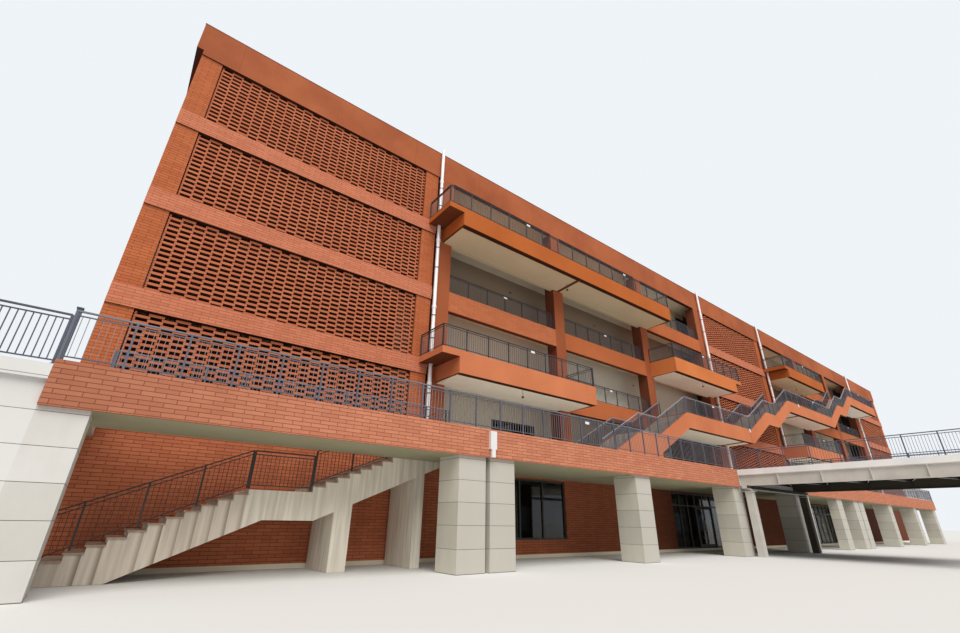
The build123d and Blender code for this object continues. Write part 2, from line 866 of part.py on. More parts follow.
# Link at the left end: a thin slab on a white abutment
link_bottom, link_thickness = link_slab
with BuildPart() as link_deck:
    with BuildSketch(site.offset(link_bottom)):
        with Locations((-link_reach, -terrace_reach)):
            Rectangle(link_reach, terrace_reach - stairwell_reach, align=corner)
    extrude(amount=link_thickness)
save(link_deck, "link_deck")

with BuildPart() as link_abutment:
    with BuildSketch(site):
        with Locations((-link_reach, pier_front)):
            Rectangle(link_reach, stone_pier[1], align=corner)
    extrude(amount=link_bottom)
save(link_abutment, "link_abutment")

link_top = link_bottom + link_thickness
with BuildPart() as link_railings:
    with BuildSketch(elevation(terrace_edge)):
        railing_run(-link_reach, link_top, 0, link_top, terrace_rail_height)
    extrude(amount=rail_thickness)
save(link_railings, "link_railings")

# Entrances: a frame with side lights and a transom round a pair of hinged leaves
leaf_width, leaf_height = door_leaf
doorway = 2 * leaf_width + 3 * door_gap
doorway_top = ground_plate + leaf_height + 2 * door_gap
door_middle = frame_setback + frame_depth / 2


def entrance_lights(start, end):
    """Glazed fields beside and over a doorway: (left, width, bottom, height)."""
    middle = (start + end) / 2
    side = middle - doorway / 2 - start - frame_bar
    light = side / side_lights - frame_bar
    pane_bottom = ground_plate + frame_bar
    over = doorway_top + frame_bar
    over_height = entrance_height - frame_bar - over
    fields = [
        (middle - doorway / 2, (doorway - frame_bar) / 2, over, over_height),
        (middle + frame_bar / 2, (doorway - frame_bar) / 2, over, over_height),
    ]
    for left in (start + frame_bar, middle + doorway / 2 + frame_bar):
        for i in range(side_lights):
            pane_left = left + i * (light + frame_bar)
            fields.append((pane_left, light, pane_bottom, doorway_top - pane_bottom))
            fields.append((pane_left, light, over, over_height))
    return fields


with BuildPart() as entrance_frames:
    with BuildSketch(elevation(frame_setback + frame_depth)):
        for start, end in entrances:
            with Locations((start, ground_plate)):
                Rectangle(end - start, entrance_height - ground_plate, align=corner)
            with Locations(((start + end) / 2 - doorway / 2, ground_plate)):
                Rectangle(
                    doorway, doorway_top - ground_plate, align=corner, mode=Mode.SUBTRACT
                )
            for left, width, low, high in entrance_lights(start, end):
                with Locations((left, low)):
                    Rectangle(width, high, align=corner, mode=Mode.SUBTRACT)
    extrude(amount=frame_depth)
save(entrance_frames, "entrance_frames")

with BuildPart() as entrance_glass:
    with BuildSketch(elevation(door_middle + door_pane / 2)):
        for start, end in entrances:
            for left, width, low, high in entrance_lights(start, end):
                with Locations((left, low)):
                    Rectangle(width, high, align=corner)
    extrude(amount=door_pane)
save(entrance_glass, "entrance_glass")

leaf_bottom = ground_plate + door_gap
for place, (start, end) in zip(("west", "east"), entrances):
    middle = (start + end) / 2
    for hand, left, pivot_side in (
        ("left", middle - door_gap / 2 - leaf_width, 0),
        ("right", middle + door_gap / 2, 1),
    ):
        pivot = left + door_thickness / 2 + pivot_side * (leaf_width - door_thickness)
        with BuildPart() as leaf:
            with BuildSketch(elevation(door_middle + door_thickness / 2)):
                with Locations((left, leaf_bottom)):
                    Rectangle(leaf_width, leaf_height, align=corner)
            extrude(amount=door_thickness)
            for face in (door_middle - door_pane / 2, door_middle + door_thickness / 2):
                with BuildSketch(elevation(face)):
                    with Locations((left + door_rail, leaf_bottom + door_rail)):
                        Rectangle(
                            leaf_width - 2 * door_rail, leaf_height - 2 * door_rail, align=corner
                        )
                extrude(amount=(door_thickness - door_pane) / 2, mode=Mode.SUBTRACT)
            with BuildSketch(site.offset(ground_plate + pivot_clearance)):
                with Locations((pivot, door_middle)):
                    Circle(pivot_radius)
            extrude(amount=doorway_top - ground_plate - 2 * pivot_clearance)
        save(leaf, f"{place}_entrance_{hand}_leaf")
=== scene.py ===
import math
import random

import bmesh
import bpy
from mathutils import Matrix, Vector


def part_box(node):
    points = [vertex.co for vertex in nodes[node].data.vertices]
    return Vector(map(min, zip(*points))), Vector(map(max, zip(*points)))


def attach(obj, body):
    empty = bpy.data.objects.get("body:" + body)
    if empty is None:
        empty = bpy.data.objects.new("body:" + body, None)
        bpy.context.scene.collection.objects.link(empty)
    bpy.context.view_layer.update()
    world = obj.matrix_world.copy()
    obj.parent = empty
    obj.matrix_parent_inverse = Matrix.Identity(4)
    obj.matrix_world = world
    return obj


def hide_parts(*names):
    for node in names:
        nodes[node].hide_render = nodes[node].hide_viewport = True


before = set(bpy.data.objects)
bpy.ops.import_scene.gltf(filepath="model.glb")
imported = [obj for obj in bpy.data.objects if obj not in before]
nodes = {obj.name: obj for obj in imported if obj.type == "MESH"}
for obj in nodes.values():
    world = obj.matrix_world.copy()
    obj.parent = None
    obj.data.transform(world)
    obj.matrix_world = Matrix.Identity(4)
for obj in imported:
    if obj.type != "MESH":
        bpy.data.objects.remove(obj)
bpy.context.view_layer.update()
scene = bpy.context.scene

# The photograph's camera: a wide lens near the ground before the building's left end, turned
# along the front and tilted up. Its place counts from the left front corner, in model metres.
front_corner = Vector((*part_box("ground_slab")[0].xy, 0))
west_x, front_y = front_corner.xy
eye = front_corner + Vector((0.1544, -1.7633, 0.1517))
yaw = math.radians(37.546)
pitch = math.radians(24.355)
roll = math.radians(0.951)
lens_length = 17.02
sensor_width = 36

ahead = Vector((math.sin(yaw) * math.cos(pitch), math.cos(yaw) * math.cos(pitch), math.sin(pitch)))
level_right = Vector((math.cos(yaw), -math.sin(yaw), 0))
level_up = level_right.cross(ahead)
right = level_right * math.cos(roll) + level_up * math.sin(roll)
top = level_up * math.cos(roll) - level_right * math.sin(roll)
camera = bpy.data.objects.new("camera", bpy.data.cameras.new("camera"))
camera.matrix_world = Matrix.Translation(eye) @ Matrix((right, top, -ahead)).transposed().to_4x4()
camera.data.lens = lens_length
camera.data.sensor_width = sensor_width
camera.data.clip_start = 0.01
camera.data.clip_end = 500
scene.collection.objects.link(camera)
scene.camera = camera
scene.view_settings.view_transform = "Standard"

# Studio: a pale floor, an even pale surround, and one broad soft lamp high up in front and
# somewhat to the left, as under a bright cloudy sky.
floor_reach = 150
floor_drop = 0.0005
lamp_from = Vector((-0.26, -0.64, 0.84))
lamp_strength = 3.0
lamp_spread = math.radians(50)
surround_light = 0.46
signs = {"+": "ADD", "-": "SUBTRACT", "*": "MULTIPLY", "/": "DIVIDE", ">": "GREATER_THAN", "<": "LESS_THAN"}


def node(tree, kind, inputs=None, **settings):
    """Adds a shader node; an input is a plain value or a socket that feeds it."""
    made = tree.nodes.new("ShaderNode" + kind)
    for name, value in settings.items():
        setattr(made, name, value)
    for name, value in (inputs or {}).items():
        if isinstance(value, bpy.types.NodeSocket):
            tree.links.new(value, made.inputs[name])
        else:
            made.inputs[name].default_value = value
    return made


def calc(operation, *values):
    """A Math node over sockets and numbers, by its sign or name."""
    tree = next(value.id_data for value in values if isinstance(value, bpy.types.NodeSocket))
    operation = signs.get(operation, operation)
    return node(tree, "Math", dict(enumerate(values)), operation=operation).outputs[0]


def inputs_of(material):
    """The sockets of a material's shader."""
    return material.node_tree.nodes["Principled BSDF"].inputs


def new_material(name, **sockets):
    """A material with its own Principled shader, whose sockets are set by name."""
    material = bpy.data.materials.new(name)
    material.use_nodes = True
    for socket, value in sockets.items():
        socket = {"rough": "Roughness", "shine": "Specular IOR Level"}.get(socket, socket)
        inputs_of(material)[socket.replace("_", " ")].default_value = value
    return material


floor_mesh = bpy.data.meshes.new("studio_floor")
floor_corners = [(x * floor_reach, y * floor_reach, -floor_drop)
                 for x, y in ((-1, -1), (1, -1), (1, 1), (-1, 1))]
floor_mesh.from_pydata(floor_corners, [], [(0, 1, 2, 3)])
floor = bpy.data.objects.new("studio_floor", floor_mesh)
scene.collection.objects.link(floor)
floor_mesh.materials.append(new_material(
    "studio_floor", Base_Color=(0.71, 0.71, 0.70, 1), rough=0.9, shine=0.0))

world = bpy.data.worlds.new("surround")
world.use_nodes = True
scene.world = world
sky = world.node_tree
sky.nodes.clear()
path = node(sky, "LightPath").outputs
seen = calc("MAXIMUM", path["Is Camera Ray"], path["Is Glossy Ray"])
seen_through = calc("MAXIMUM", seen, path["Is Transmission Ray"])
lighting = node(sky, "Background", {"Color": (0.97, 0.985, 1, 1), "Strength": surround_light})
backdrop = node(sky, "Background", {"Color": (0.86, 0.90, 0.94, 1), "Strength": 1.0})
both = node(sky, "MixShader", {0: seen_through, 1: lighting.outputs[0], 2: backdrop.outputs[0]})
node(sky, "OutputWorld", {"Surface": both.outputs[0]})

lamp = bpy.data.objects.new("soft_lamp", bpy.data.lights.new("soft_lamp", "SUN"))
lamp.data.energy = lamp_strength
lamp.data.angle = lamp_spread
lamp.data.color = (1, 0.97, 0.92)
lamp.rotation_mode = "QUATERNION"
lamp.rotation_quaternion = lamp_from.to_track_quat("Z", "Y")
scene.collection.objects.link(lamp)

# Brick walls: long fired bricks in running bond with dark recessed joints. The bands, pilasters,
# gables and terrace face are orange brick. The ground floor's wall is red. Shade is painted into
# the brick: on the bands' undersides, on the terrace face toward its west end, and on the ground
# floor's wall under the terrace, where it deepens to the east.
brick_length = 0.050
brick_course = 0.011
brick_joint = 0.0015
# Painted shade along x on the terrace face and the ground floor's wall: where it starts, where it is
# deepest, and its most.
terrace_shade = (west_x + 0.70, west_x, 0.30)
ground_shade = (west_x + 1.3, west_x + 3.2, 0.80)


def ramp(value, start, end, most=1.0):
    """Rises evenly from 0 to its most while a value goes from start to end."""
    inputs = {"Value": value, "From Min": start, "From Max": end, "To Max": most}
    return node(value.id_data, "MapRange", inputs).outputs[0]


def blend(share, first, second, most=1.0):
    """Mixes two colours, each plain or a socket, by a share times its most."""
    if most != 1.0:
        share = calc("*", share, most)
    colours = [c if isinstance(c, bpy.types.NodeSocket) else (*c, 1) for c in (first, second)]
    inputs = {0: share, 6: colours[0], 7: colours[1]}
    return node(share.id_data, "Mix", inputs, data_type="RGBA").outputs[2]


def dimmed(colour, share):
    """A colour at a share of its brightness."""
    return tuple(share * part for part in colour)


def place_of(tree):
    """Where the shaded spot lies: sockets for x, y and z."""
    spot = node(tree, "TexCoord").outputs["Object"]
    return node(tree, "SeparateXYZ", {0: spot}).outputs


def facing_of(tree):
    """Which way the shaded face looks: sockets for x, y and z."""
    normal = node(tree, "NewGeometry").outputs["True Normal"]
    return node(tree, "SeparateXYZ", {0: normal}).outputs


def looks(tree, axis=2, way=1):
    """1 on faces that look along an axis: up or down, or out to a side."""
    return calc(">", calc("*", facing_of(tree)[axis], way), 0.5)


def new_group(name, inputs, outputs):
    """A shader node group with named number sockets, and its two end nodes."""
    group = bpy.data.node_groups.new(name, "ShaderNodeTree")
    for label, value in inputs.items():
        socket = group.interface.new_socket(label, in_out="INPUT", socket_type="NodeSocketFloat")
        socket.default_value = value
    for label in outputs:
        group.interface.new_socket(label, in_out="OUTPUT", socket_type="NodeSocketFloat")
    return group, group.nodes.new("NodeGroupInput"), group.nodes.new("NodeGroupOutput")


def use_group(tree, group, **inputs):
    """Places a node group with its own values; gives its outputs."""
    placed = node(tree, "Group", node_tree=group)
    for label, value in inputs.items():
        placed.inputs[label.replace("_", " ")].default_value = value
    return placed.outputs


coursing, given, result = new_group(
    "brick_coursing",
    {"Length": brick_length, "Course": brick_course, "Joint": brick_joint, "Stagger": 0.5},
    ("Brick", "Tone"),
)
place, facing, sizes = place_of(coursing), facing_of(coursing), given.outputs


def turned(axis):
    """The place along x or z, or along y on faces that look along that axis."""
    looks_along = calc(">", calc("ABSOLUTE", facing[axis]), 0.5)
    return calc("+", place[axis], calc("*", looks_along, calc("-", place[1], place[axis])))


course_place = calc("/", turned(2), sizes["Course"])
course_number = calc("FLOOR", course_place)
odd_course = calc("FLOORED_MODULO", course_number, 2.0)
brick_place = calc("+", calc("/", turned(0), sizes["Length"]), calc("*", odd_course, sizes["Stagger"]))
past_bed, past_end = (
    calc(">", calc("*", calc("FRACT", steps), sizes[size]), sizes["Joint"])
    for steps, size in ((course_place, "Course"), (brick_place, "Length"))
)
which = node(coursing, "CombineXYZ", {0: calc("FLOOR", brick_place), 1: course_number})
tone = node(coursing, "TexWhiteNoise", {0: which.outputs[0]}, noise_dimensions="3D")
coursing.links.new(calc("*", past_bed, past_end), result.inputs["Brick"])
coursing.links.new(tone.outputs["Value"], result.inputs["Tone"])

weather, given, result = new_group(
    "weathering", {"Cloud Scale": 3.0, "Streak Scale": 30.0}, ("Cloud", "Streak", "Grain"))
spot = node(weather, "TexCoord").outputs["Object"]
tall = node(weather, "VectorMath", {0: spot, 1: (1, 1, 0.06)}, operation="MULTIPLY")
cloud = node(weather, "TexNoise", {
    "Vector": spot, "Scale": given.outputs["Cloud Scale"], "Detail": 5.0, "Roughness": 0.6})
streak = node(weather, "TexNoise", {
    "Vector": tall.outputs[0], "Scale": given.outputs["Streak Scale"], "Detail": 3.0})
grain = node(weather, "TexNoise", {"Vector": spot, "Scale": 600.0, "Detail": 2.0})
for source, label in ((cloud, "Cloud"), (streak, "Streak")):
    weather.links.new(ramp(source.outputs[0], 0.35, 0.65), result.inputs[label])
weather.links.new(grain.outputs[0], result.inputs["Grain"])


def worn(name, cloud_scale, streak_scale, **sockets):
    """A new material, its tree, and the outputs of its weathering."""
    material = new_material(name, **sockets)
    tree = material.node_tree
    return material, tree, use_group(tree, weather, Cloud_Scale=cloud_scale, Streak_Scale=streak_scale)


def dress(material, colour, relief=None, strength=0.25, depth=0.0003):
    """Gives a material its colour and the bump of its relief."""
    tree = material.node_tree
    tree.links.new(colour, inputs_of(material)["Base Color"])
    if relief is not None:
        bump = node(tree, "Bump", {"Height": relief, "Strength": strength, "Distance": depth})
        tree.links.new(bump.outputs[0], inputs_of(material)["Normal"])
    return material


def brickwork(name, light, dark, joint, under=None, shade=None):
    """Matt brick in running bond with dirt streaks; an under colour paints shade on faces that look down,
    and painted shade darkens it between two places along x.
    """
    material, tree, wear = worn(name, 2.2, 22.0, rough=0.82, shine=0.1)
    bond = use_group(tree, coursing)
    brick = blend(bond["Tone"], light, dark)
    faded = blend(wear["Cloud"], brick, dark, most=0.22)
    laid = blend(bond["Brick"], joint, faded)
    streaked_and_shaded = blend(wear["Streak"], laid, joint, most=0.12)
    # Painted shade: faces that look down take the under colour, and the brick darkens along x toward the
    # shade colour.
    if under:
        streaked_and_shaded = blend(looks(tree, way=-1), streaked_and_shaded, under)
    if shade:
        streaked_and_shaded = blend(ramp(place_of(tree)[0], *shade), streaked_and_shaded, painted_shade_red)
    relief = calc("+", bond["Brick"], calc("*", wear["Grain"], 0.3))
    return dress(material, streaked_and_shaded, relief, 0.6, 0.0006)


def finish(material, *names):
    """Gives CAD nodes a material; their shapes stay."""
    for name in names:
        nodes[name].data.materials.clear()
        nodes[name].data.materials.append(material)


# Painted shade: the dark red-brown that brick and render take on undersides and in the shade under the
# terrace.
painted_shade_red = (0.055, 0.016, 0.009)
finish(brickwork("orange_brick", (0.51, 0.152, 0.060), (0.43, 0.118, 0.045), (0.23, 0.060, 0.026)),
       "pilasters", "gable_walls", "rear_wall")
# The bands' undersides, the terrace face's west end and the ground floor's wall carry painted shade.
finish(brickwork("band_brick", (0.60, 0.210, 0.118), (0.51, 0.170, 0.092), (0.31, 0.095, 0.053),
                 under=painted_shade_red), "floor_bands")
finish(brickwork("terrace_brick", (0.60, 0.240, 0.140), (0.50, 0.185, 0.105), (0.24, 0.075, 0.046),
                 shade=terrace_shade), "terrace_fascia")
finish(brickwork("red_brick", (0.53, 0.172, 0.082), (0.43, 0.130, 0.060), (0.16, 0.046, 0.026),
                 shade=ground_shade), "ground_front_wall", "entrance_lintels")

# Pierced screens: bricks laid with a gap after each, every course half a step along, so the
# light falls through. Mortar lies only where a brick rests on the one below.
screen_courses = 30
hole_pitch = 0.078
screen_brick = 0.0448
least_brick = 0.004
bed_joint = 0.0013
mortar_inset = 0.0008
brick_wander = 0.00018
random.seed(7)


def new_shape():
    """A mesh in the making: corners, faces and each face's material number."""
    return [], [], []


def prism(shape, first, last, paint=0):
    """Joins two like rings of corners by quads and closes both ends."""
    points, faces, paints = shape
    start, count = len(points), len(first)
    points += [tuple(point) for point in (*first, *last)]
    for i in range(count):
        follower = (i + 1) % count
        faces.append((start + i, start + follower, start + count + follower, start + count + i))
    faces.append(tuple(range(start + count - 1, start - 1, -1)))
    faces.append(tuple(range(start + count, start + 2 * count)))
    paints += [paint] * (count + 2)


def box(shape, low, high, paint=0):
    """A box between two opposite corners."""
    rings = [[(low[0], low[1], z), (high[0], low[1], z), (high[0], high[1], z), (low[0], high[1], z)]
             for z in (low[2], high[2])]
    prism(shape, *rings, paint)


def build(name, shape, *materials, body="building"):
    """Turns a shape into a flat-shaded object that rides on a body."""
    points, faces, paints = shape
    mesh = bpy.data.meshes.new(name)
    mesh.from_pydata(points, [], faces)
    for material in materials:
        mesh.materials.append(material)
    mesh.polygons.foreach_set("material_index", paints)
    tidy = bmesh.new()
    tidy.from_mesh(mesh)
    bmesh.ops.recalc_face_normals(tidy, faces=tidy.faces)
    tidy.to_mesh(mesh)
    tidy.free()
    made = bpy.data.objects.new(name, mesh)
    scene.collection.objects.link(made)
    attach(made, body)
    return made


def screen_panel(shape, low, high):
    """One storey's pierced panel between two corners."""
    course = (high.z - low.z) / screen_courses
    lap = screen_brick - hole_pitch / 2
    for number in range(screen_courses):
        foot = low.z + number * course
        shift = hole_pitch / 2 * (number % 2) - hole_pitch
        while shift < high.x - low.x:
            left = max(low.x, low.x + shift)
            far = min(high.x, low.x + shift + screen_brick)
            shift += hole_pitch
            if far - left < least_brick:
                continue
            depth = random.uniform(-brick_wander, brick_wander)
            box(shape, (left, low.y + depth + brick_wander, foot + bed_joint / 2),
                (far, high.y + depth - brick_wander, foot + course - bed_joint / 2))
            if number + 1 < screen_courses:
                for start, end in ((left, min(left + lap, far)), (max(far - lap, left), far)):
                    box(shape, (start, low.y + mortar_inset, foot + course - bed_joint / 2),
                        (end, high.y - mortar_inset, foot + course + bed_joint / 2), 1)


def pierced_brick():
    """Fired clay, each brick in its own tone; every face but the front is painted dark as the shade in the
    holes.
    """
    material, tree, wear = worn("screen_brick", 2.0, 14.0, rough=0.8, shine=0.1)
    piece = node(tree, "NewGeometry").outputs["Random Per Island"]
    clay = blend(piece, (0.53, 0.172, 0.086), (0.43, 0.126, 0.060))
    faded = blend(wear["Cloud"], clay, (0.35, 0.100, 0.050), most=0.25)
    # Painted shade: every face but the front is dark, as the holes are in shade.
    colour = blend(looks(tree, axis=1, way=-1), (0.13, 0.038, 0.017), faded)
    return dress(material, colour, wear["Grain"], 0.35)


def clouded(name, light, dark, **sockets):
    """A plain material that wavers between two tones."""
    material, _, wear = worn(name, 3.0, 30.0, **sockets)
    return dress(material, blend(wear["Cloud"], light, dark))


screen_clay = pierced_brick()
mortar = clouded("red_mortar", (0.15, 0.044, 0.022), (0.11, 0.032, 0.017), rough=0.95, shine=0.0)
levels = [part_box(name)[1].z
          for name in ("second_floor", "third_floor", "fourth_floor", "fifth_floor", "roof_slab")]
storey = levels[1] - levels[0]
for side in ("west", "middle", "east"):
    low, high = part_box(f"{side}_screens")
    panel_height = high.z - low.z - 3 * storey
    panels = new_shape()
    for level in levels[:-1]:
        screen_panel(panels, Vector((low.x, low.y, level)), Vector((high.x, high.y, level + panel_height)))
    screens = build(f"{side}_brick_screens", panels, screen_clay, mortar)
    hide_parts(f"{side}_screens")

# Render: smooth through-coloured orange coats on the parapet, piers, edge beams, balconies,
# walkways and stair stringers, clouded by weather; the parapet's is laid in fields with thin
# joints. The undersides of all but the piers, and the piers' west-looking sides, are painted dark
# as shade.
parapet_field = 0.45
render_joint = 0.0016
jointless = 9.0


def render_coat(name, light, dark, joint_pitch=0.0, under=None, ends=None):
    """Matt render, with upright joints where a pitch is given; an under colour paints shade on faces that
    look down, and an end colour goes on faces that look west.
    """
    material, tree, wear = worn(name, 2.6, 9.0, rough=0.78, shine=0.1)
    coat = blend(wear["Cloud"], light, dark)
    coat = blend(wear["Streak"], coat, dark, most=0.30)
    if joint_pitch:
        bond = use_group(tree, coursing, Length=joint_pitch, Course=jointless, Joint=render_joint)
        coat = blend(bond["Brick"], dimmed(dark, 0.8), coat)
    if ends:
        coat = blend(looks(tree, axis=0, way=-1), coat, ends)
    if under:
        coat = blend(looks(tree, way=-1), coat, under)
    return dress(material, coat, wear["Grain"])


cream = (0.80, 0.72, 0.57)
# Painted shade: the dark brown that the undersides of the edge beams, balconies, walkways, stringers and
# brick beam take.
painted_shade_brown = (0.14, 0.042, 0.017)
# The parapet's underside carries painted shade.
finish(render_coat("parapet_render", (0.44, 0.132, 0.053), (0.30, 0.082, 0.034), parapet_field,
                   under=painted_shade_red), "front_parapet", "rear_parapet", "end_parapets")
# The piers' sides that look west are painted dark brown as shade.
finish(render_coat("pier_render", (0.37, 0.108, 0.044), (0.29, 0.080, 0.033), ends=(0.16, 0.047, 0.023)),
       "open_bay_piers")
for name, light, dark, coated in (
        ("beam_render", (0.49, 0.145, 0.053), (0.41, 0.112, 0.040), ("edge_beams",)),
        ("balcony_render", (0.47, 0.126, 0.030), (0.39, 0.098, 0.023), ("fifth_floor_balconies",)),
        ("fourth_floor_render", (0.64, 0.205, 0.066), (0.54, 0.162, 0.050), ("fourth_floor_balcony",)),
        ("walkway_render", (0.61, 0.206, 0.094), (0.52, 0.164, 0.073),
         ("third_floor_balconies", "walkways", "climbing_stringers"))):
    finish(render_coat(name, light, dark, under=painted_shade_brown), *coated)

# Parapet coping: a thin dark painted metal strip folded over the wall's top edge.
coping_height = 0.0022
coping_overhang = 0.0015
end_thickness = 0.056
coping_metal = clouded("coping_metal", (0.20, 0.055, 0.030), (0.14, 0.040, 0.024), rough=0.5)
coping = new_shape()


def cope(low_x, low_y, high_x, high_y, wall_top):
    """One strip of coping on a wall, proud of it all round."""
    box(coping, (low_x - coping_overhang, low_y - coping_overhang, wall_top),
        (high_x + coping_overhang, high_y + coping_overhang, wall_top + coping_height))


for name in ("front_parapet", "rear_parapet"):
    low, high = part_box(name)
    cope(low.x, low.y, high.x, high.y, high.z)
front_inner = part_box("front_parapet")[1].y + 2 * coping_overhang
rear_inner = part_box("rear_parapet")[0].y - 2 * coping_overhang
outer_low, outer_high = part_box("end_parapets")
for left in (outer_low.x, outer_high.x - end_thickness):
    cope(left, front_inner, left + end_thickness, rear_inner, outer_high.z)
coping_strip = build("parapet_coping", coping, coping_metal)

# Floors and ceilings: cream painted undersides, grey stone tiles on top; the roof is a grey
# felt. The wall behind the galleries is beige plaster with light and shade painted into it: darker
# where little light comes in, near black behind the screens and beside the climbing stair, darker
# on the upper storeys and lighter on the lower ones.
tile_size = 0.06
tile_joint = 0.0008
floor_margin = 0.02
stair_shade_from = west_x + 3.40


def slab_finish(name, under, over, over_dark, joint, edge=None):
    """Painted underside and edge under a tiled or felted top."""
    material, tree, wear = worn(name, 4.0, 12.0, rough=0.75, shine=0.15)
    tiles = use_group(tree, coursing, Length=tile_size, Course=tile_size, Joint=tile_joint, Stagger=0.0)
    tiled = blend(tiles["Brick"], joint, blend(tiles["Tone"], over, over_dark))
    painted = blend(wear["Cloud"], under, dimmed(under, 0.86), most=0.5)
    if edge:
        painted = blend(looks(tree, way=-1), edge, painted)
    return dress(material, blend(looks(tree), painted, tiled), wear["Grain"], 0.15, 0.0002)


def gallery_plaster():
    """Matt beige plaster with light and shade painted in: its tone changes by storey, and it is near black
    behind the screens and beside the climbing stair.
    """
    material, tree, wear = worn("gallery_plaster", 3.0, 10.0, rough=0.8, shine=0.1)
    x, _, z = place_of(tree)

    def between(start, end):
        """1 where x lies between two places, else 0."""
        return calc("*", calc(">", x, start), calc("<", x, end))

    second, lower, top = (level - floor_margin for level in levels[1:4])
    # Painted light and shade by storey: the fourth storey darkest, the fifth lighter, the lower storeys
    # lightest.
    upper_storey_shade = blend(calc(">", z, top), (0.28, 0.21, 0.15), (0.49, 0.40, 0.27))
    paint = blend(calc("<", z, lower), upper_storey_shade, (0.73, 0.70, 0.59))
    # Painted shade low down beside the climbing stair.
    stair_bays = between(stair_shade_from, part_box("middle_screens")[0].x)
    beside_stair = calc("*", calc("<", z, second), stair_bays)
    paint = blend(beside_stair, paint, (0.13, 0.115, 0.115))
    # Painted shade, near black, behind the pierced screens.
    for side in ("west", "middle", "east"):
        low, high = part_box(f"{side}_screens")
        paint = blend(between(low.x, high.x), paint, (0.045, 0.032, 0.025))
    paint = blend(wear["Cloud"], paint, (0.22, 0.19, 0.15), most=0.16)
    return dress(material, paint, wear["Grain"])


finish(slab_finish("gallery_floor", cream, (0.34, 0.31, 0.27), (0.29, 0.27, 0.24), (0.15, 0.14, 0.13)),
       "second_floor", "third_floor", "fourth_floor", "fifth_floor", "ground_slab")
finish(slab_finish("roof_felt", cream, (0.20, 0.20, 0.20), (0.17, 0.17, 0.17), (0.10, 0.10, 0.10)),
       "roof_slab")
finish(slab_finish("terrace_floor", (0.36, 0.34, 0.22), (0.72, 0.68, 0.62), (0.64, 0.60, 0.54),
                   (0.26, 0.24, 0.22), edge=(0.69, 0.685, 0.67)), "terrace_deck")
finish(gallery_plaster(), "corridor_walls")

# Balcony and walkway soffits: one cream board from behind the front lip to the beam's foot, with
# a slight fall, crossed by a thin rib where a pier stands behind, its dark brown painted shade. A
# near black strip under the lip is painted shade. The cream is one paint in two brightnesses: the
# fifth floor's darker, as painted shade, the floors' below brighter, as painted light.
soffit_board = 0.0012
beam_step = 0.005
rib_width = 0.018
rib_reach = 0.080
rib_drop = 0.003
lip_strip = 0.018
lip_shade_setback = 0.002
recess_depths = (0.002, 0.01)
same_level = 0.01
close = 1e-4


def solids_of(name):
    """A CAD node's separate solids: the corners of each, and its faces as (corners, normal)."""
    shape = bmesh.new()
    shape.from_mesh(nodes[name].data)
    bmesh.ops.remove_doubles(shape, verts=shape.verts, dist=1e-6)
    waiting = set(shape.faces)
    found = []
    while waiting:
        group = [waiting.pop()]
        for face in group:
            for edge in face.edges:
                for other in edge.link_faces:
                    if other in waiting:
                        waiting.remove(other)
                        group.append(other)
        corners = {corner.co.copy().freeze() for face in group for corner in face.verts}
        faces = [([corner.co.copy() for corner in face.verts], face.normal.copy()) for face in group]
        found.append((sorted(corners, key=tuple), faces))
    shape.free()
    return sorted(found, key=lambda solid: tuple(solid[0][0]))


def span_of(points):
    """Lowest and highest corner of some points."""
    return [Vector([pick(point[axis] for point in points) for axis in range(3)]) for pick in (min, max)]


def spans_of(name):
    """Lowest and highest corner of each solid of a CAD node."""
    return [span_of(corners) for corners, faces in solids_of(name)]


def run_along(shape, outline, left, far, paint=0):
    """Runs an outline of (y, z) points along x."""
    prism(shape, *([(x, y, z) for y, z in outline] for x in (left, far)), paint)


# One cream paint in two brightnesses: this darker copy is painted shade, for the fifth floor; the brighter
# is painted light, for the floors below.
soffit_paint = slab_finish("soffit_paint", (0.68, 0.58, 0.39), cream, cream, cream)
bright_soffit_paint = slab_finish("bright_soffit_paint", (0.95, 0.90, 0.78), cream, cream, cream)
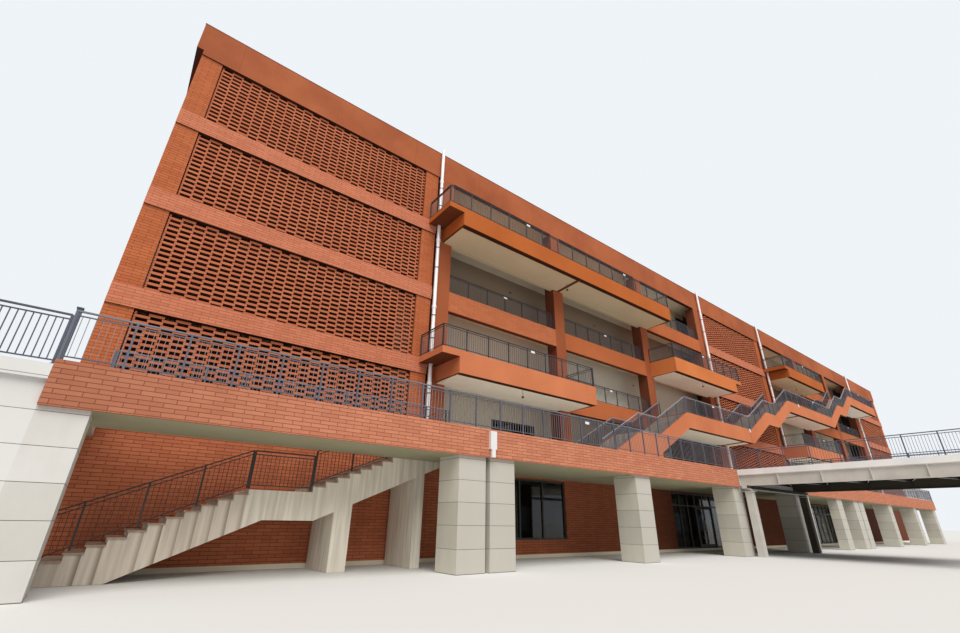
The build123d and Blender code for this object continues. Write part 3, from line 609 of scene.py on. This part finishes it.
# The rib's dark brown is painted shade, and so is the near black strip under the lip.
rib_paint = render_coat("rib_paint", (0.16, 0.050, 0.026), (0.12, 0.036, 0.020))
lip_shade_paint = render_coat("lip_shade_paint", (0.060, 0.020, 0.010), (0.045, 0.015, 0.008))
boards = new_shape()
ribs = new_shape()
pier_lines = sorted((low.x + high.x) / 2 for low, high in spans_of("open_bay_piers"))
beam_spans = spans_of("edge_beams")
for name in ("third_floor_balconies", "fourth_floor_balcony", "fifth_floor_balconies", "walkways"):
    # The fifth floor's soffits take the darker cream, as painted shade; the others the brighter, as painted
    # light.
    paint_number = 0 if name == "fifth_floor_balconies" else 1
    for corners, faces in solids_of(name):
        low, high = span_of(corners)
        board_low, board_high = span_of(
            [point for face, normal in faces for point in face
             if normal.z < -0.9 and recess_depths[0] < point.z - low.z < recess_depths[1]])
        strip_back = board_low.y + lip_strip
        board_foot = board_low.z - soffit_board
        beam_foot = low.z - beam_step
        profile = ((strip_back, board_low.z), (strip_back, board_foot), (front_y, beam_foot),
                   (front_y, low.z), (board_high.y, board_low.z))
        run_along(boards, profile, board_low.x, board_high.x, paint_number)
        # A rib at each pier line, its dark brown painted shade.
        rib = ((board_low.y, board_foot), (board_low.y, low.z),
               (front_y, beam_foot - rib_drop), (front_y, beam_foot))
        for line in pier_lines:
            if board_low.x + rib_reach < line < board_high.x - rib_reach:
                run_along(ribs, rib, line - rib_width / 2, line + rib_width / 2)
        for beam_low, beam_high in beam_spans:
            left, far = max(beam_low.x, board_low.x), min(beam_high.x, board_high.x)
            if abs(beam_high.z - high.z) < same_level and left < far:
                box(boards, (left, beam_low.y, beam_low.z - soffit_board / 2),
                    (far, beam_high.y, beam_low.z), paint_number)
        # A near black strip under the lip, painted as its shade.
        box(ribs, (board_low.x, low.y + lip_shade_setback, low.z - soffit_board / 2),
            (board_high.x, strip_back, board_low.z), 1)
soffit_ribs = build("soffit_ribs", ribs, rib_paint, lip_shade_paint)
soffits = build("balcony_soffits", boards, soffit_paint, bright_soffit_paint)

# Brick beam: one edge beam of the first open bay is faced with brick slips.
slip_thickness = 0.0006
beam_level = 2
slips = new_shape()
low, high = min((span for span in beam_spans if abs(span[1].z - levels[beam_level]) < close),
                key=lambda span: span[0].x)
box(slips, (low.x, low.y - slip_thickness, low.z), (high.x, low.y, high.z))
# The brick beam's underside carries painted shade.
beam_brick = brickwork("beam_brick", (0.55, 0.180, 0.080), (0.48, 0.148, 0.064), (0.36, 0.105, 0.045),
                       under=painted_shade_brown)
brick_beam = build("brick_beam_facing", slips, beam_brick)

# Railings: satin dark grey steel. Square posts, a chamfered handrail, a thinner rail under it,
# a foot rail, and thin upright bars between them, welded together.
post_pitch = 0.13
terrace_post_pitch = 0.115
bar_pitch = 0.0125
post_size = 0.0048
handrail = (0.0062, 0.0040)
thin_rail = (0.0036, 0.0028)
bar_size = 0.0014
bar_sizes = {"climbing_railings": 0.0019, "link_railings": 0.0021}
second_rail_drop = 0.0125
foot_rail_rise = 0.009
foot_plate = (0.010, 0.0010)
chamfer = 0.35


def painted_steel(name, light, dark, roughness):
    """Sprayed metal with a faint change of tone and gloss."""
    material, tree, wear = worn(name, 9.0, 60.0, Metallic=0.15)
    gloss = calc("+", roughness, calc("*", wear["Streak"], 0.12))
    tree.links.new(gloss, inputs_of(material)["Roughness"])
    return dress(material, blend(wear["Cloud"], light, dark))


def rail(shape, start, end, across, size, paint=0):
    """A straight rail between two points with chamfered corners."""
    width, tall = size[0] / 2, size[1] / 2
    cut = min(width, tall) * chamfer
    outline = ((-width, -tall + cut), (-width + cut, -tall), (width - cut, -tall), (width, -tall + cut),
               (width, tall - cut), (width - cut, tall), (-width + cut, tall), (-width, tall - cut))
    rings = [[point + across * side + Vector((0, 0, rise)) for side, rise in outline]
             for point in (start, end)]
    prism(shape, *rings, paint)


def upright(shape, foot, head, size, paint=0):
    """A square bar or plate standing on a point."""
    half = size / 2
    box(shape, (foot.x - half, foot.y - half, foot.z), (foot.x + half, foot.y + half, head), paint)


def railing_run(shape, start, end, height, pitch, bar):
    """A run of railing, level or climbing: bars take the second paint, handrails the third."""
    run = end - start
    flat = Vector((run.x, run.y, 0))
    across = Vector((-flat.y, flat.x, 0)).normalized()
    inset = flat.normalized() * post_size / 2
    start, end = start + inset, end - inset
    run = end - start
    bays = max(1, round(flat.length / pitch))
    lift = Vector((0, 0, 1))
    rail_middle = height - handrail[1] / 2
    rail(shape, start + lift * rail_middle, end + lift * rail_middle, across, handrail, 2)
    for rise in (height - second_rail_drop, foot_rail_rise):
        rail(shape, start + lift * rise, end + lift * rise, across, thin_rail)
    bars = max(2, round(flat.length / bays / bar_pitch))
    for i in range(bays + 1):
        foot = start + run * i / bays
        upright(shape, foot, foot.z + rail_middle, post_size)
        if abs(run.z) < close:
            upright(shape, foot, foot.z + foot_plate[1], foot_plate[0])
        if i == bays:
            break
        for j in range(1, bars):
            foot = start + run * (i + j / bars) / bays
            upright(shape, foot + lift * foot_rail_rise, foot.z + height - second_rail_drop, bar, 1)


def runs_of(name):
    """The runs of a CAD railing node: start and end at the foot, and the height."""
    runs = []
    for corners, faces in solids_of(name):
        low, high = span_of(corners)
        axis = 0 if high.x - low.x > high.y - low.y else 1
        middle = (low + high) / 2
        ends = []
        for place in (low, high):
            near = [point.z for point in corners if abs(point[axis] - place[axis]) < close]
            foot = Vector((middle.x, middle.y, min(near)))
            foot[axis] = place[axis]
            ends.append((foot, max(near) - min(near)))
        runs.append((ends[0][0], ends[1][0], ends[0][1]))
    return runs


railing_paint = painted_steel("railing_paint", (0.105, 0.112, 0.150), (0.078, 0.084, 0.115), 0.42)
# Nearly black. On the ground stair's railings the darkness is painted shade; the lamps and walkway joint
# slots use this paint too.
stair_rail_paint = painted_steel("stair_rail_paint", (0.040, 0.034, 0.030), (0.028, 0.024, 0.022), 0.45)
gallery_rail_paint = painted_steel("gallery_rail_paint", (0.046, 0.047, 0.056), (0.032, 0.033, 0.040), 0.45)
bar_paint = painted_steel("bar_paint", (0.135, 0.135, 0.148), (0.105, 0.105, 0.118), 0.5)
link_paint = painted_steel("link_paint", (0.062, 0.067, 0.094), (0.046, 0.050, 0.072), 0.42)
railing_paints = {
    "gallery_railings": (gallery_rail_paint, bar_paint, gallery_rail_paint),
    "balcony_railings": (gallery_rail_paint, bar_paint, gallery_rail_paint),
    "climbing_railings": (
        railing_paint,
        painted_steel("dark_bar_paint", (0.085, 0.088, 0.105), (0.062, 0.066, 0.082), 0.5),
        # The climbing stair's handrails are pale as a painted highlight.
        painted_steel("handrail_paint", (0.34, 0.335, 0.37), (0.27, 0.27, 0.30), 0.4)),
    "terrace_railings": (
        railing_paint,
        # The terrace's bars are paler as painted light, and its handrails as a painted highlight.
        painted_steel("pale_bar_paint", (0.21, 0.185, 0.205), (0.165, 0.145, 0.160), 0.5),
        painted_steel("pale_rail_paint", (0.165, 0.175, 0.210), (0.125, 0.135, 0.165), 0.4)),
    "ground_stair_railings": (stair_rail_paint,) * 3,
    "link_railings": (link_paint,) * 3,
    "bridge_railings": (railing_paint,) * 3,
}
level_runs = []
for name, paints in railing_paints.items():
    bars = new_shape()
    pitch = terrace_post_pitch if name == "terrace_railings" else post_pitch
    for start, end, height in runs_of(name):
        railing_run(bars, start, end, height, pitch, bar_sizes.get(name, bar_size))
        if abs(end.z - start.z) < close and abs(end.y - start.y) < close:
            level_runs.append((start, end))
    railings = build(name.replace("railings", "bar_railings"), bars, *paints)
    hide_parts(name)

# Railing plates: small bare white plates, one at the middle of each pier span on the upper
# storeys and a single one on the terrace, fixed to the foremost railing.
plate_size = (0.026, 0.0010, 0.011)
plate_rise = 0.090
plate_margin = 0.05
widest_span = 1.0
railing_level = 0.004
terrace_plate_line = 1.761


def block(shape, line, width, near, far, foot, head, paint=0):
    """A box of a width about a line, between two depths and two heights."""
    box(shape, (line - width / 2, near, foot), (line + width / 2, far, head), paint)


plate_paint = painted_steel("plate_paint", (0.80, 0.78, 0.78), (0.72, 0.70, 0.70), 0.4)
plates = new_shape()
spots = [((left + far) / 2, level) for left, far in zip(pier_lines[:-1], pier_lines[1:])
         if far - left < widest_span for level in levels[1:-1]]
for middle, level in (*spots, (west_x + terrace_plate_line, levels[0])):
    here = [start for start, end in level_runs
            if start.x + plate_margin < middle < end.x - plate_margin
            and abs(start.z - level) < railing_level]
    if here:
        front = min(here, key=lambda start: start.y).y - handrail[0] / 2
        foot = level + plate_rise
        block(plates, middle, plate_size[0], front - plate_size[1], front, foot, foot + plate_size[2])
railing_plates = build("railing_plates", plates, plate_paint)

# Corner post between the link's railing and the terrace's: a thick square post with a cap.
corner_post = 0.010
corner_post_height = 0.122
corner_post_drop = 0.012
cap_thickness = 0.003
cap_overhang = 0.0015
terrace_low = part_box("terrace_railings")[0]
post = new_shape()
post_foot = Vector((terrace_low.x + corner_post / 2, terrace_low.y + corner_post / 2,
                    levels[0] - corner_post_drop))
post_head = levels[0] + corner_post_height
upright(post, post_foot, post_head, corner_post)
upright(post, Vector((post_foot.x, post_foot.y, post_head)), post_head + cap_thickness,
        corner_post + 2 * cap_overhang)
corner_piece = build("terrace_corner_post", post, link_paint)

# Downpipes: white plastic tube with a socket at each storey, wall brackets half way, and a
# square gully box where it lands on the terrace.
pipe_sides = 24
socket_size = (0.0112, 0.016)
socket_drop = 0.13
bracket_rises = (0.10, 0.22)
bracket_size = 0.0034
bracket_arm = 0.004
gully_size = (0.030, 0.022)
gully_reach = (-0.004, 0.026)
white_plastic = painted_steel("pipe_plastic", (0.90, 0.88, 0.90), (0.80, 0.78, 0.80), 0.35)


def tube(shape, middle, foot, head, radius, sides, paint=0, head_radius=None):
    """An upright tube, disc or taper."""
    rings = [[(middle.x + reach * math.cos(math.tau * i / sides),
               middle.y + reach * math.sin(math.tau * i / sides), z) for i in range(sides)]
             for z, reach in ((foot, radius), (head, head_radius or radius))]
    prism(shape, *rings, paint)


fittings = new_shape()
for low, high in spans_of("downpipes"):
    middle = (low + high) / 2
    block(fittings, middle.x, gully_size[0], low.y + gully_reach[0], low.y + gully_reach[1],
          low.z, low.z + gully_size[1], 1)
    for level in levels[1:]:
        foot = level - socket_drop
        tube(fittings, middle, foot, foot + socket_size[1], socket_size[0], pipe_sides)
    for level in levels[:-1]:
        for rise in bracket_rises:
            foot, head = level + rise, level + rise + bracket_size
            tube(fittings, middle, foot, head, socket_size[0], pipe_sides, 1)
            block(fittings, middle.x, bracket_arm, high.y, front_y, foot, head, 1)
pipe_fittings = build("downpipe_fittings", fittings, white_plastic, railing_paint)
finish(white_plastic, "downpipes")

# Terrace outlet: a white sheet metal box on the terrace's brick face with a short spout.
outlet_from_west = (1.204, 1.232)
outlet_height = (0.361, 0.452)
outlet_depth = 0.012
spout_height = 0.028
spout_inset = 0.006
spout_gap = 0.002
face_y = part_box("terrace_fascia")[0].y
outlet = new_shape()
left, far = (west_x + distance for distance in outlet_from_west)
spout_top = outlet_height[0] + spout_height
box(outlet, (left, face_y - outlet_depth, spout_top), (far, face_y, outlet_height[1]))
box(outlet, (left + spout_inset, face_y - outlet_depth, outlet_height[0]),
    (far - spout_inset, face_y - spout_gap, spout_top))
outlet_box = build("terrace_outlet", outlet, plate_paint)

# Pendant lamps: small dark bell shades on a thin stem, hung under the balconies' front edge.
stem_radius = 0.0009
stem_length = 0.040
stem_sides = 8
shade_radius = 0.0080
shade_height = 0.010
shade_taper = 0.3
shade_sides = 16
hook_from_edge = 0.016
hook_depth = 0.005
hooks_off_middle = {
    "third_floor_balconies": 0.03, "fourth_floor_balcony": 0.13, "fifth_floor_balconies": 0.03}
pendants = new_shape()
for name, off_middle in hooks_off_middle.items():
    for low, high in spans_of(name):
        hook = Vector(((low.x + high.x) / 2 - off_middle, low.y + hook_from_edge, low.z + hook_depth))
        if name == "fifth_floor_balconies":
            hook.y = (low.y + high.y) / 2
        tube(pendants, hook, hook.z - stem_length, hook.z, stem_radius, stem_sides)
        foot = hook.z - stem_length - shade_height
        tube(pendants, hook, foot, foot + shade_height, shade_radius, shade_sides,
             head_radius=shade_radius * shade_taper)
pendant_lamps = build("pendant_lamps", pendants, stair_rail_paint)

# Wall lamps: small dark housings with a slanted face, high on the wall behind the galleries.
# Places are the storey and the distance from the building's left end.
wall_lamp_places = ((2, 1.906), (2, 2.747), (1, 3.157), (2, 5.946), (2, 6.787), (1, 7.197))
wall_lamp_rise = 0.268
wall_lamp_reach = 0.006
wedge = ((0, 0), (-0.007, 0.002), (-0.007, 0.004), (0, 0.011))
wall_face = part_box("corridor_walls")[0].y
housings = new_shape()
for storey_number, distance in wall_lamp_places:
    x, z = west_x + distance, levels[storey_number] + wall_lamp_rise
    run_along(housings, [(wall_face + out, z + rise) for out, rise in wedge],
              x - wall_lamp_reach, x + wall_lamp_reach)
wall_lamps = build("gallery_wall_lamps", housings, stair_rail_paint)

# Expansion joints: a dark slot down the face of two walkways under a small white cap.
joint_places = ((1, 4.060), (2, 5.290))
joint_slot = (0.0040, 0.0003, 0.105)
joint_cap = (0.016, 0.0030, 0.026)
cap_rise = 0.003
cap_lap = 0.004
face_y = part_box("walkways")[0].y
slots = new_shape()
for storey_number, distance in joint_places:
    x, z = west_x + distance, levels[storey_number]
    block(slots, x, joint_slot[0], face_y - joint_slot[1], face_y, z - joint_slot[2], z, 1)
    block(slots, x, joint_cap[0], face_y - joint_cap[1], face_y + cap_lap,
          z + cap_rise - joint_cap[2], z + cap_rise)
walkway_joints = build("walkway_joints", slots, plate_paint, stair_rail_paint)

# Glazed screens and windows: black aluminium bars round dark glass, behind the galleries and
# in the ground floor's front wall.
glass = {"rough": 0.04, "Transmission_Weight": 1.0, "IOR": 1.45}
dark_metal = painted_steel("frame_paint", (0.032, 0.033, 0.037), (0.022, 0.023, 0.026), 0.38)
finish(dark_metal, "front_window_frames")
finish(clouded("dark_glass", (0.070, 0.080, 0.085), (0.045, 0.055, 0.060), **glass),
       "front_window_glass", "rear_glass")

# Stone piers and abutment: honed cream panels with a shadow joint every 0.7 m of height. The
# westernmost pier is paler, and the piers' sides that look west are paler as painted light.
stone_course = 0.07
stone_joint = 0.0013
pale_before = west_x + 0.5
pale_stone = (0.70, 0.695, 0.68)


def stone_panels(name, light, dark, sides=None):
    """Stone cladding with level joints; where sides is given, the west-looking sides are paler as painted
    light and the westernmost pier is paler.
    """
    material, tree, wear = worn(name, 5.0, 26.0, rough=0.6, shine=0.25)
    if sides:
        # Painted light: the piers' west-looking sides are paler.
        light = blend(looks(tree, axis=0, way=-1), light, sides)
        light = blend(calc("<", place_of(tree)[0], pale_before), light, pale_stone)
    panels = use_group(tree, coursing, Length=jointless, Course=stone_course, Joint=stone_joint, Stagger=0.0)
    stone = blend(panels["Tone"], light, dark, most=0.5)
    stone = blend(wear["Cloud"], stone, dark, most=0.35)
    stone = blend(wear["Streak"], stone, dark, most=0.18)
    joined = blend(panels["Brick"], dimmed(dark, 0.30), stone)
    relief = calc("+", panels["Brick"], calc("*", wear["Grain"], 0.08))
    return dress(material, joined, relief, 0.5, 0.0006)


finish(stone_panels("pier_stone", (0.51, 0.485, 0.435), (0.45, 0.425, 0.375), sides=(0.72, 0.69, 0.59)),
       "stone_piers")
finish(stone_panels("abutment_stone", (0.69, 0.685, 0.67), (0.61, 0.605, 0.59)),
       "link_abutment", "link_deck")

# Stairs: cast concrete painted off-white, run down by dirt below each tread. The ground stair
# has brown stone treads, the climbing stair pale ones.
dirt_band = (0.62, 0.92)
landing_tread = 12


def soiled_concrete(name, light, dirt, share):
    """Painted concrete with upright dirt runs."""
    material, _, wear = worn(name, 6.0, 75.0, rough=0.8, shine=0.15)
    runs = calc("*", wear["Streak"], wear["Streak"])
    painted = blend(wear["Cloud"], light, dimmed(light, 0.8), most=0.4)
    return dress(material, blend(runs, painted, dirt, most=share), wear["Grain"], 0.3)


def flight_paint():
    """The ground stair's paint, with a band of dirt under each step."""
    material, tree, wear = worn("stair_paint", 6.0, 75.0, rough=0.8, shine=0.15)
    treads = sorted(spans_of("ground_stair_treads"), key=lambda span: (span[0].x, span[0].z))
    tread_pitch = treads[2][0].x - treads[1][0].x
    x = place_of(tree)[0]
    past_nose = calc("/", calc("-", x, treads[1][0].x), tread_pitch)
    on_flight = calc("<", x, treads[landing_tread][1].x)
    chance = node(tree, "TexWhiteNoise", {"W": calc("FLOOR", past_nose)},
                  noise_dimensions="1D").outputs["Value"]
    band = calc("*", ramp(calc("FRACT", past_nose), *dirt_band), on_flight)
    band = calc("*", band, calc("+", 0.25, calc("*", chance, 0.60)))
    dirt = calc("MAXIMUM", band, calc("*", wear["Streak"], 0.30))
    base = blend(on_flight, (0.84, 0.78, 0.67), (0.70, 0.62, 0.53))
    return dress(material, blend(dirt, base, (0.20, 0.14, 0.09)), wear["Grain"], 0.3)


step_paint = soiled_concrete("step_paint", (0.50, 0.45, 0.38), (0.28, 0.24, 0.19), 0.4)
finish(flight_paint(), "ground_stair_flights", "ground_stair_props")
finish(step_paint, "climbing_steps")
finish(soiled_concrete("tread_stone", (0.44, 0.32, 0.25), (0.22, 0.14, 0.10), 0.5), "ground_stair_treads")

# Footbridge: white copings over cream steel girders with stiffeners, cream box posts under a
# cross head, and a floor that is paved above. The cross beams, the floor's underside and the cross
# head, but for its west-looking ends, are painted near black as shade. Inner faces, which little
# light reaches, and the eastern half's faces that don't look east are painted dark as shade.
brace_size = (0.0030, 0.0030)
brace_drop = 0.006
well_inside = 0.1
steel_cream = ((0.68, 0.65, 0.60), (0.57, 0.545, 0.50))
girder_low, girder_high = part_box("bridge_girders")


def shaded_bridge_steel():
    """Matt cream, with painted shade on faces that look in and on all but the east-looking faces of the
    eastern half.
    """
    material, tree, wear = worn("bridge_steel_shade", 9.0, 60.0, rough=0.75, shine=0.05)
    from_middle = calc("-", place_of(tree)[0], (girder_low.x + girder_high.x) / 2)
    facing_x = facing_of(tree)[0]
    # Painted shade: faces that look toward the bridge's middle line, and every face on its eastern half but
    # those looking east.
    looks_inward = calc("<", calc("*", from_middle, facing_x), -well_inside)
    far_side = calc("*", calc(">", from_middle, 0.0), calc("<", facing_x, 0.5))
    inner = calc("MAXIMUM", looks_inward, far_side)
    outer = blend(wear["Cloud"], *steel_cream)
    return dress(material, blend(inner, outer, (0.090, 0.078, 0.062)))


girder_cream = painted_steel("bridge_cream", *steel_cream, 0.5)
# Near black: the bridge's underside painted as shade; the bearings' pads take it too.
under_grey = render_coat("bridge_under", (0.032, 0.030, 0.026), (0.022, 0.020, 0.018))
finish(under_grey, "bridge_crossbeams")
finish(shaded_bridge_steel(), "bridge_girders", "bridge_posts")
finish(painted_steel("bridge_white", (0.96, 0.95, 0.93), (0.88, 0.87, 0.85), 0.5), "bridge_copings")
# The cross head is painted near black as shade, but for its cream west-looking ends.
finish(render_coat("bridge_crosshead", (0.055, 0.050, 0.042), (0.042, 0.038, 0.032),
                   ends=(0.62, 0.59, 0.54)), "bridge_crossheads")
# The floor's underside is painted near black as shade.
finish(slab_finish("bridge_paving", (0.030, 0.028, 0.024), (0.40, 0.38, 0.35), (0.35, 0.33, 0.30),
                   (0.18, 0.17, 0.16)), "bridge_floor")
beam_low, beam_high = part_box("bridge_crossbeams")
panel_count = len(solids_of("bridge_crossbeams")) - 1
panel = (beam_high.y - beam_low.y) / panel_count
braces = new_shape()
for i in range(panel_count):
    near, off = beam_low.y + i * panel, beam_low.y + (i + 1) * panel
    for start_y, end_y in ((near, off), (off, near)):
        ends = [Vector((x, y, beam_low.z + brace_drop))
                for x, y in ((beam_low.x, start_y), (beam_high.x, end_y))]
        along = (ends[1] - ends[0]).normalized()
        rail(braces, *ends, Vector((-along.y, along.x, 0)), brace_size)
bridge_bracing = build("bridge_bracing", braces, girder_cream)

# Bridge bearings: a square steel plate with a dark pad on the head of each post, and a long foot
# plate under each cross head.
bearing_overhang = 0.010
bearing_drop = 0.012
bearing_thickness = 0.0035
pad_overhang = 0.006
pad_thickness = 0.0020
foot_plate_thickness = 0.0025
foot_plate_proud = (0.001, 0.0005)
bearings = new_shape()
for low, high in spans_of("bridge_posts"):
    plate_foot = high.z - bearing_drop
    for reach, foot, thickness, number in (
            (bearing_overhang, plate_foot, bearing_thickness, 0),
            (pad_overhang, plate_foot + bearing_thickness, pad_thickness, 1)):
        box(bearings, (low.x - reach, low.y - reach, foot),
            (high.x + reach, high.y + reach, foot + thickness), number)
for low, high in spans_of("bridge_crossheads"):
    box(bearings, (low.x, low.y - foot_plate_proud[0], low.z - foot_plate_proud[1]),
        (high.x, high.y + foot_plate_proud[0], low.z + foot_plate_thickness))
bridge_bearings = build("bridge_bearings", bearings, girder_cream, under_grey)

# Bridge drain: a thin white pipe held to the front corner of the stone pier beside the inner far
# post, from under the girder to the ground.
drain_radius = 0.0045
drain_gap = 0.0035
drain_foot = 0.004
drain_head_drop = 0.012
drain_collar = 0.001
drain_bracket_rises = (0.06, 0.20, 0.32)
drain = new_shape()
post_low = max(spans_of("bridge_posts"), key=lambda span: (span[0].y, span[0].x))[0]
pier_low, pier_high = min(spans_of("stone_piers"), key=lambda span: abs(span[1].x - post_low.x))
drain_line = Vector((pier_high.x - drain_radius, pier_low.y - drain_gap - drain_radius, 0))
tube(drain, drain_line, drain_foot, pier_high.z - drain_head_drop, drain_radius, pipe_sides)
for rise in drain_bracket_rises:
    head = rise + bracket_size
    tube(drain, drain_line, rise, head, drain_radius + drain_collar, pipe_sides)
    block(drain, drain_line.x, bracket_arm, drain_line.y, pier_low.y, rise, head)
bridge_drain = build("bridge_drain", drain, white_plastic)

# Entrances: black aluminium frames with clear glass. Each leaf is a frame round one pane with
# an upright pull bar on its outer face, and turns on its outer edge.
leaf_rail = 0.008
leaf_thickness = 0.006
pane_thickness = 0.003
pivot_radius = 0.002
pull_radius = 0.0016
pull_stand_off = 0.006
pull_height = (0.095, 0.165)
pull_arm_inset = 0.008
leaf_sides = 12
clear_glass = clouded("clear_glass", (0.18, 0.20, 0.205), (0.13, 0.15, 0.155), **glass)
finish(dark_metal, "entrance_frames")
finish(clear_glass, "entrance_glass")
for side in ("west", "east"):
    for hand in ("left", "right"):
        name = f"{side}_entrance_{hand}_leaf"
        corners = [point for solid, faces in solids_of(name) for point in solid]
        low, high = span_of(corners)
        heights = sorted({round(point.z, 5) for point in corners})
        low.z, high.z = heights[1], heights[-2]
        glass_foot, glass_head = low.z + 2 * leaf_rail, high.z - leaf_rail
        glass_left, glass_right = low.x + leaf_rail, high.x - leaf_rail
        middle_y = (low.y + high.y) / 2
        leaf = new_shape()
        for left, far in ((low.x, glass_left), (glass_right, high.x)):
            box(leaf, (left, low.y, low.z), (far, high.y, high.z))
        for foot, head in ((low.z, glass_foot), (glass_head, high.z)):
            box(leaf, (glass_left, low.y, foot), (glass_right, high.y, head))
        box(leaf, (glass_left, middle_y - pane_thickness / 2, glass_foot),
            (glass_right, middle_y + pane_thickness / 2, glass_head), 1)
        pivot = Vector((low.x + leaf_thickness / 2, middle_y, 0))
        pull = Vector((high.x - leaf_rail / 2, low.y - pull_stand_off, 0))
        if hand == "right":
            pivot.x = high.x - leaf_thickness / 2
            pull.x = low.x + leaf_rail / 2
        for foot, head in ((heights[0], low.z), (high.z, heights[-1])):
            tube(leaf, pivot, foot, head, pivot_radius, leaf_sides)
        foot, head = (low.z + rise for rise in pull_height)
        tube(leaf, pull, foot, head, pull_radius, leaf_sides, 2)
        for z in (foot + pull_arm_inset, head - pull_arm_inset):
            block(leaf, pull.x, pull_radius, pull.y, low.y, z, z + pull_radius, 2)
        door = build(f"{side}_{hand}_door", leaf, dark_metal, clear_glass, plate_paint, body=name)
        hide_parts(name)

# Rear windows: white framed lights, three mullions and a transom in each, over a stone sill.
rear_lights = 4
rear_bar = 0.005
rear_frame_depth = 0.010
rear_setback = 0.010
transom_setback = 0.001
transom_rise = 0.125
sill_size = (0.008, 0.006)
window_size = (0.480, 0.180)
window_rise = 0.090
window_count = 12
rear_low, rear_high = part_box("rear_wall")
window_pitch = (rear_high.x - rear_low.x) / window_count
frames = new_shape()
sills = new_shape()
back = rear_high.y - rear_setback
for level in (0, *levels[:-1]):
    bottom = level + window_rise
    head = bottom + window_size[1]
    for i in range(window_count):
        left = rear_low.x + (i + 0.5) * window_pitch - window_size[0] / 2
        far = left + window_size[0]
        for j in range(rear_lights + 1):
            line = left + j * (window_size[0] - rear_bar) / rear_lights
            box(frames, (line, back - rear_frame_depth, bottom), (line + rear_bar, back, head))
        for z in (bottom, bottom + transom_rise, head - rear_bar):
            box(frames, (left, back - rear_frame_depth + transom_setback, z),
                (far, back - transom_setback, z + rear_bar))
        box(sills, (left - sill_size[0], back, bottom - sill_size[1]),
            (far + sill_size[0], rear_high.y + sill_size[0] / 2, bottom))
rear_frames = build("rear_window_frames", frames, plate_paint)
rear_sills = build("rear_window_sills", sills, step_paint)
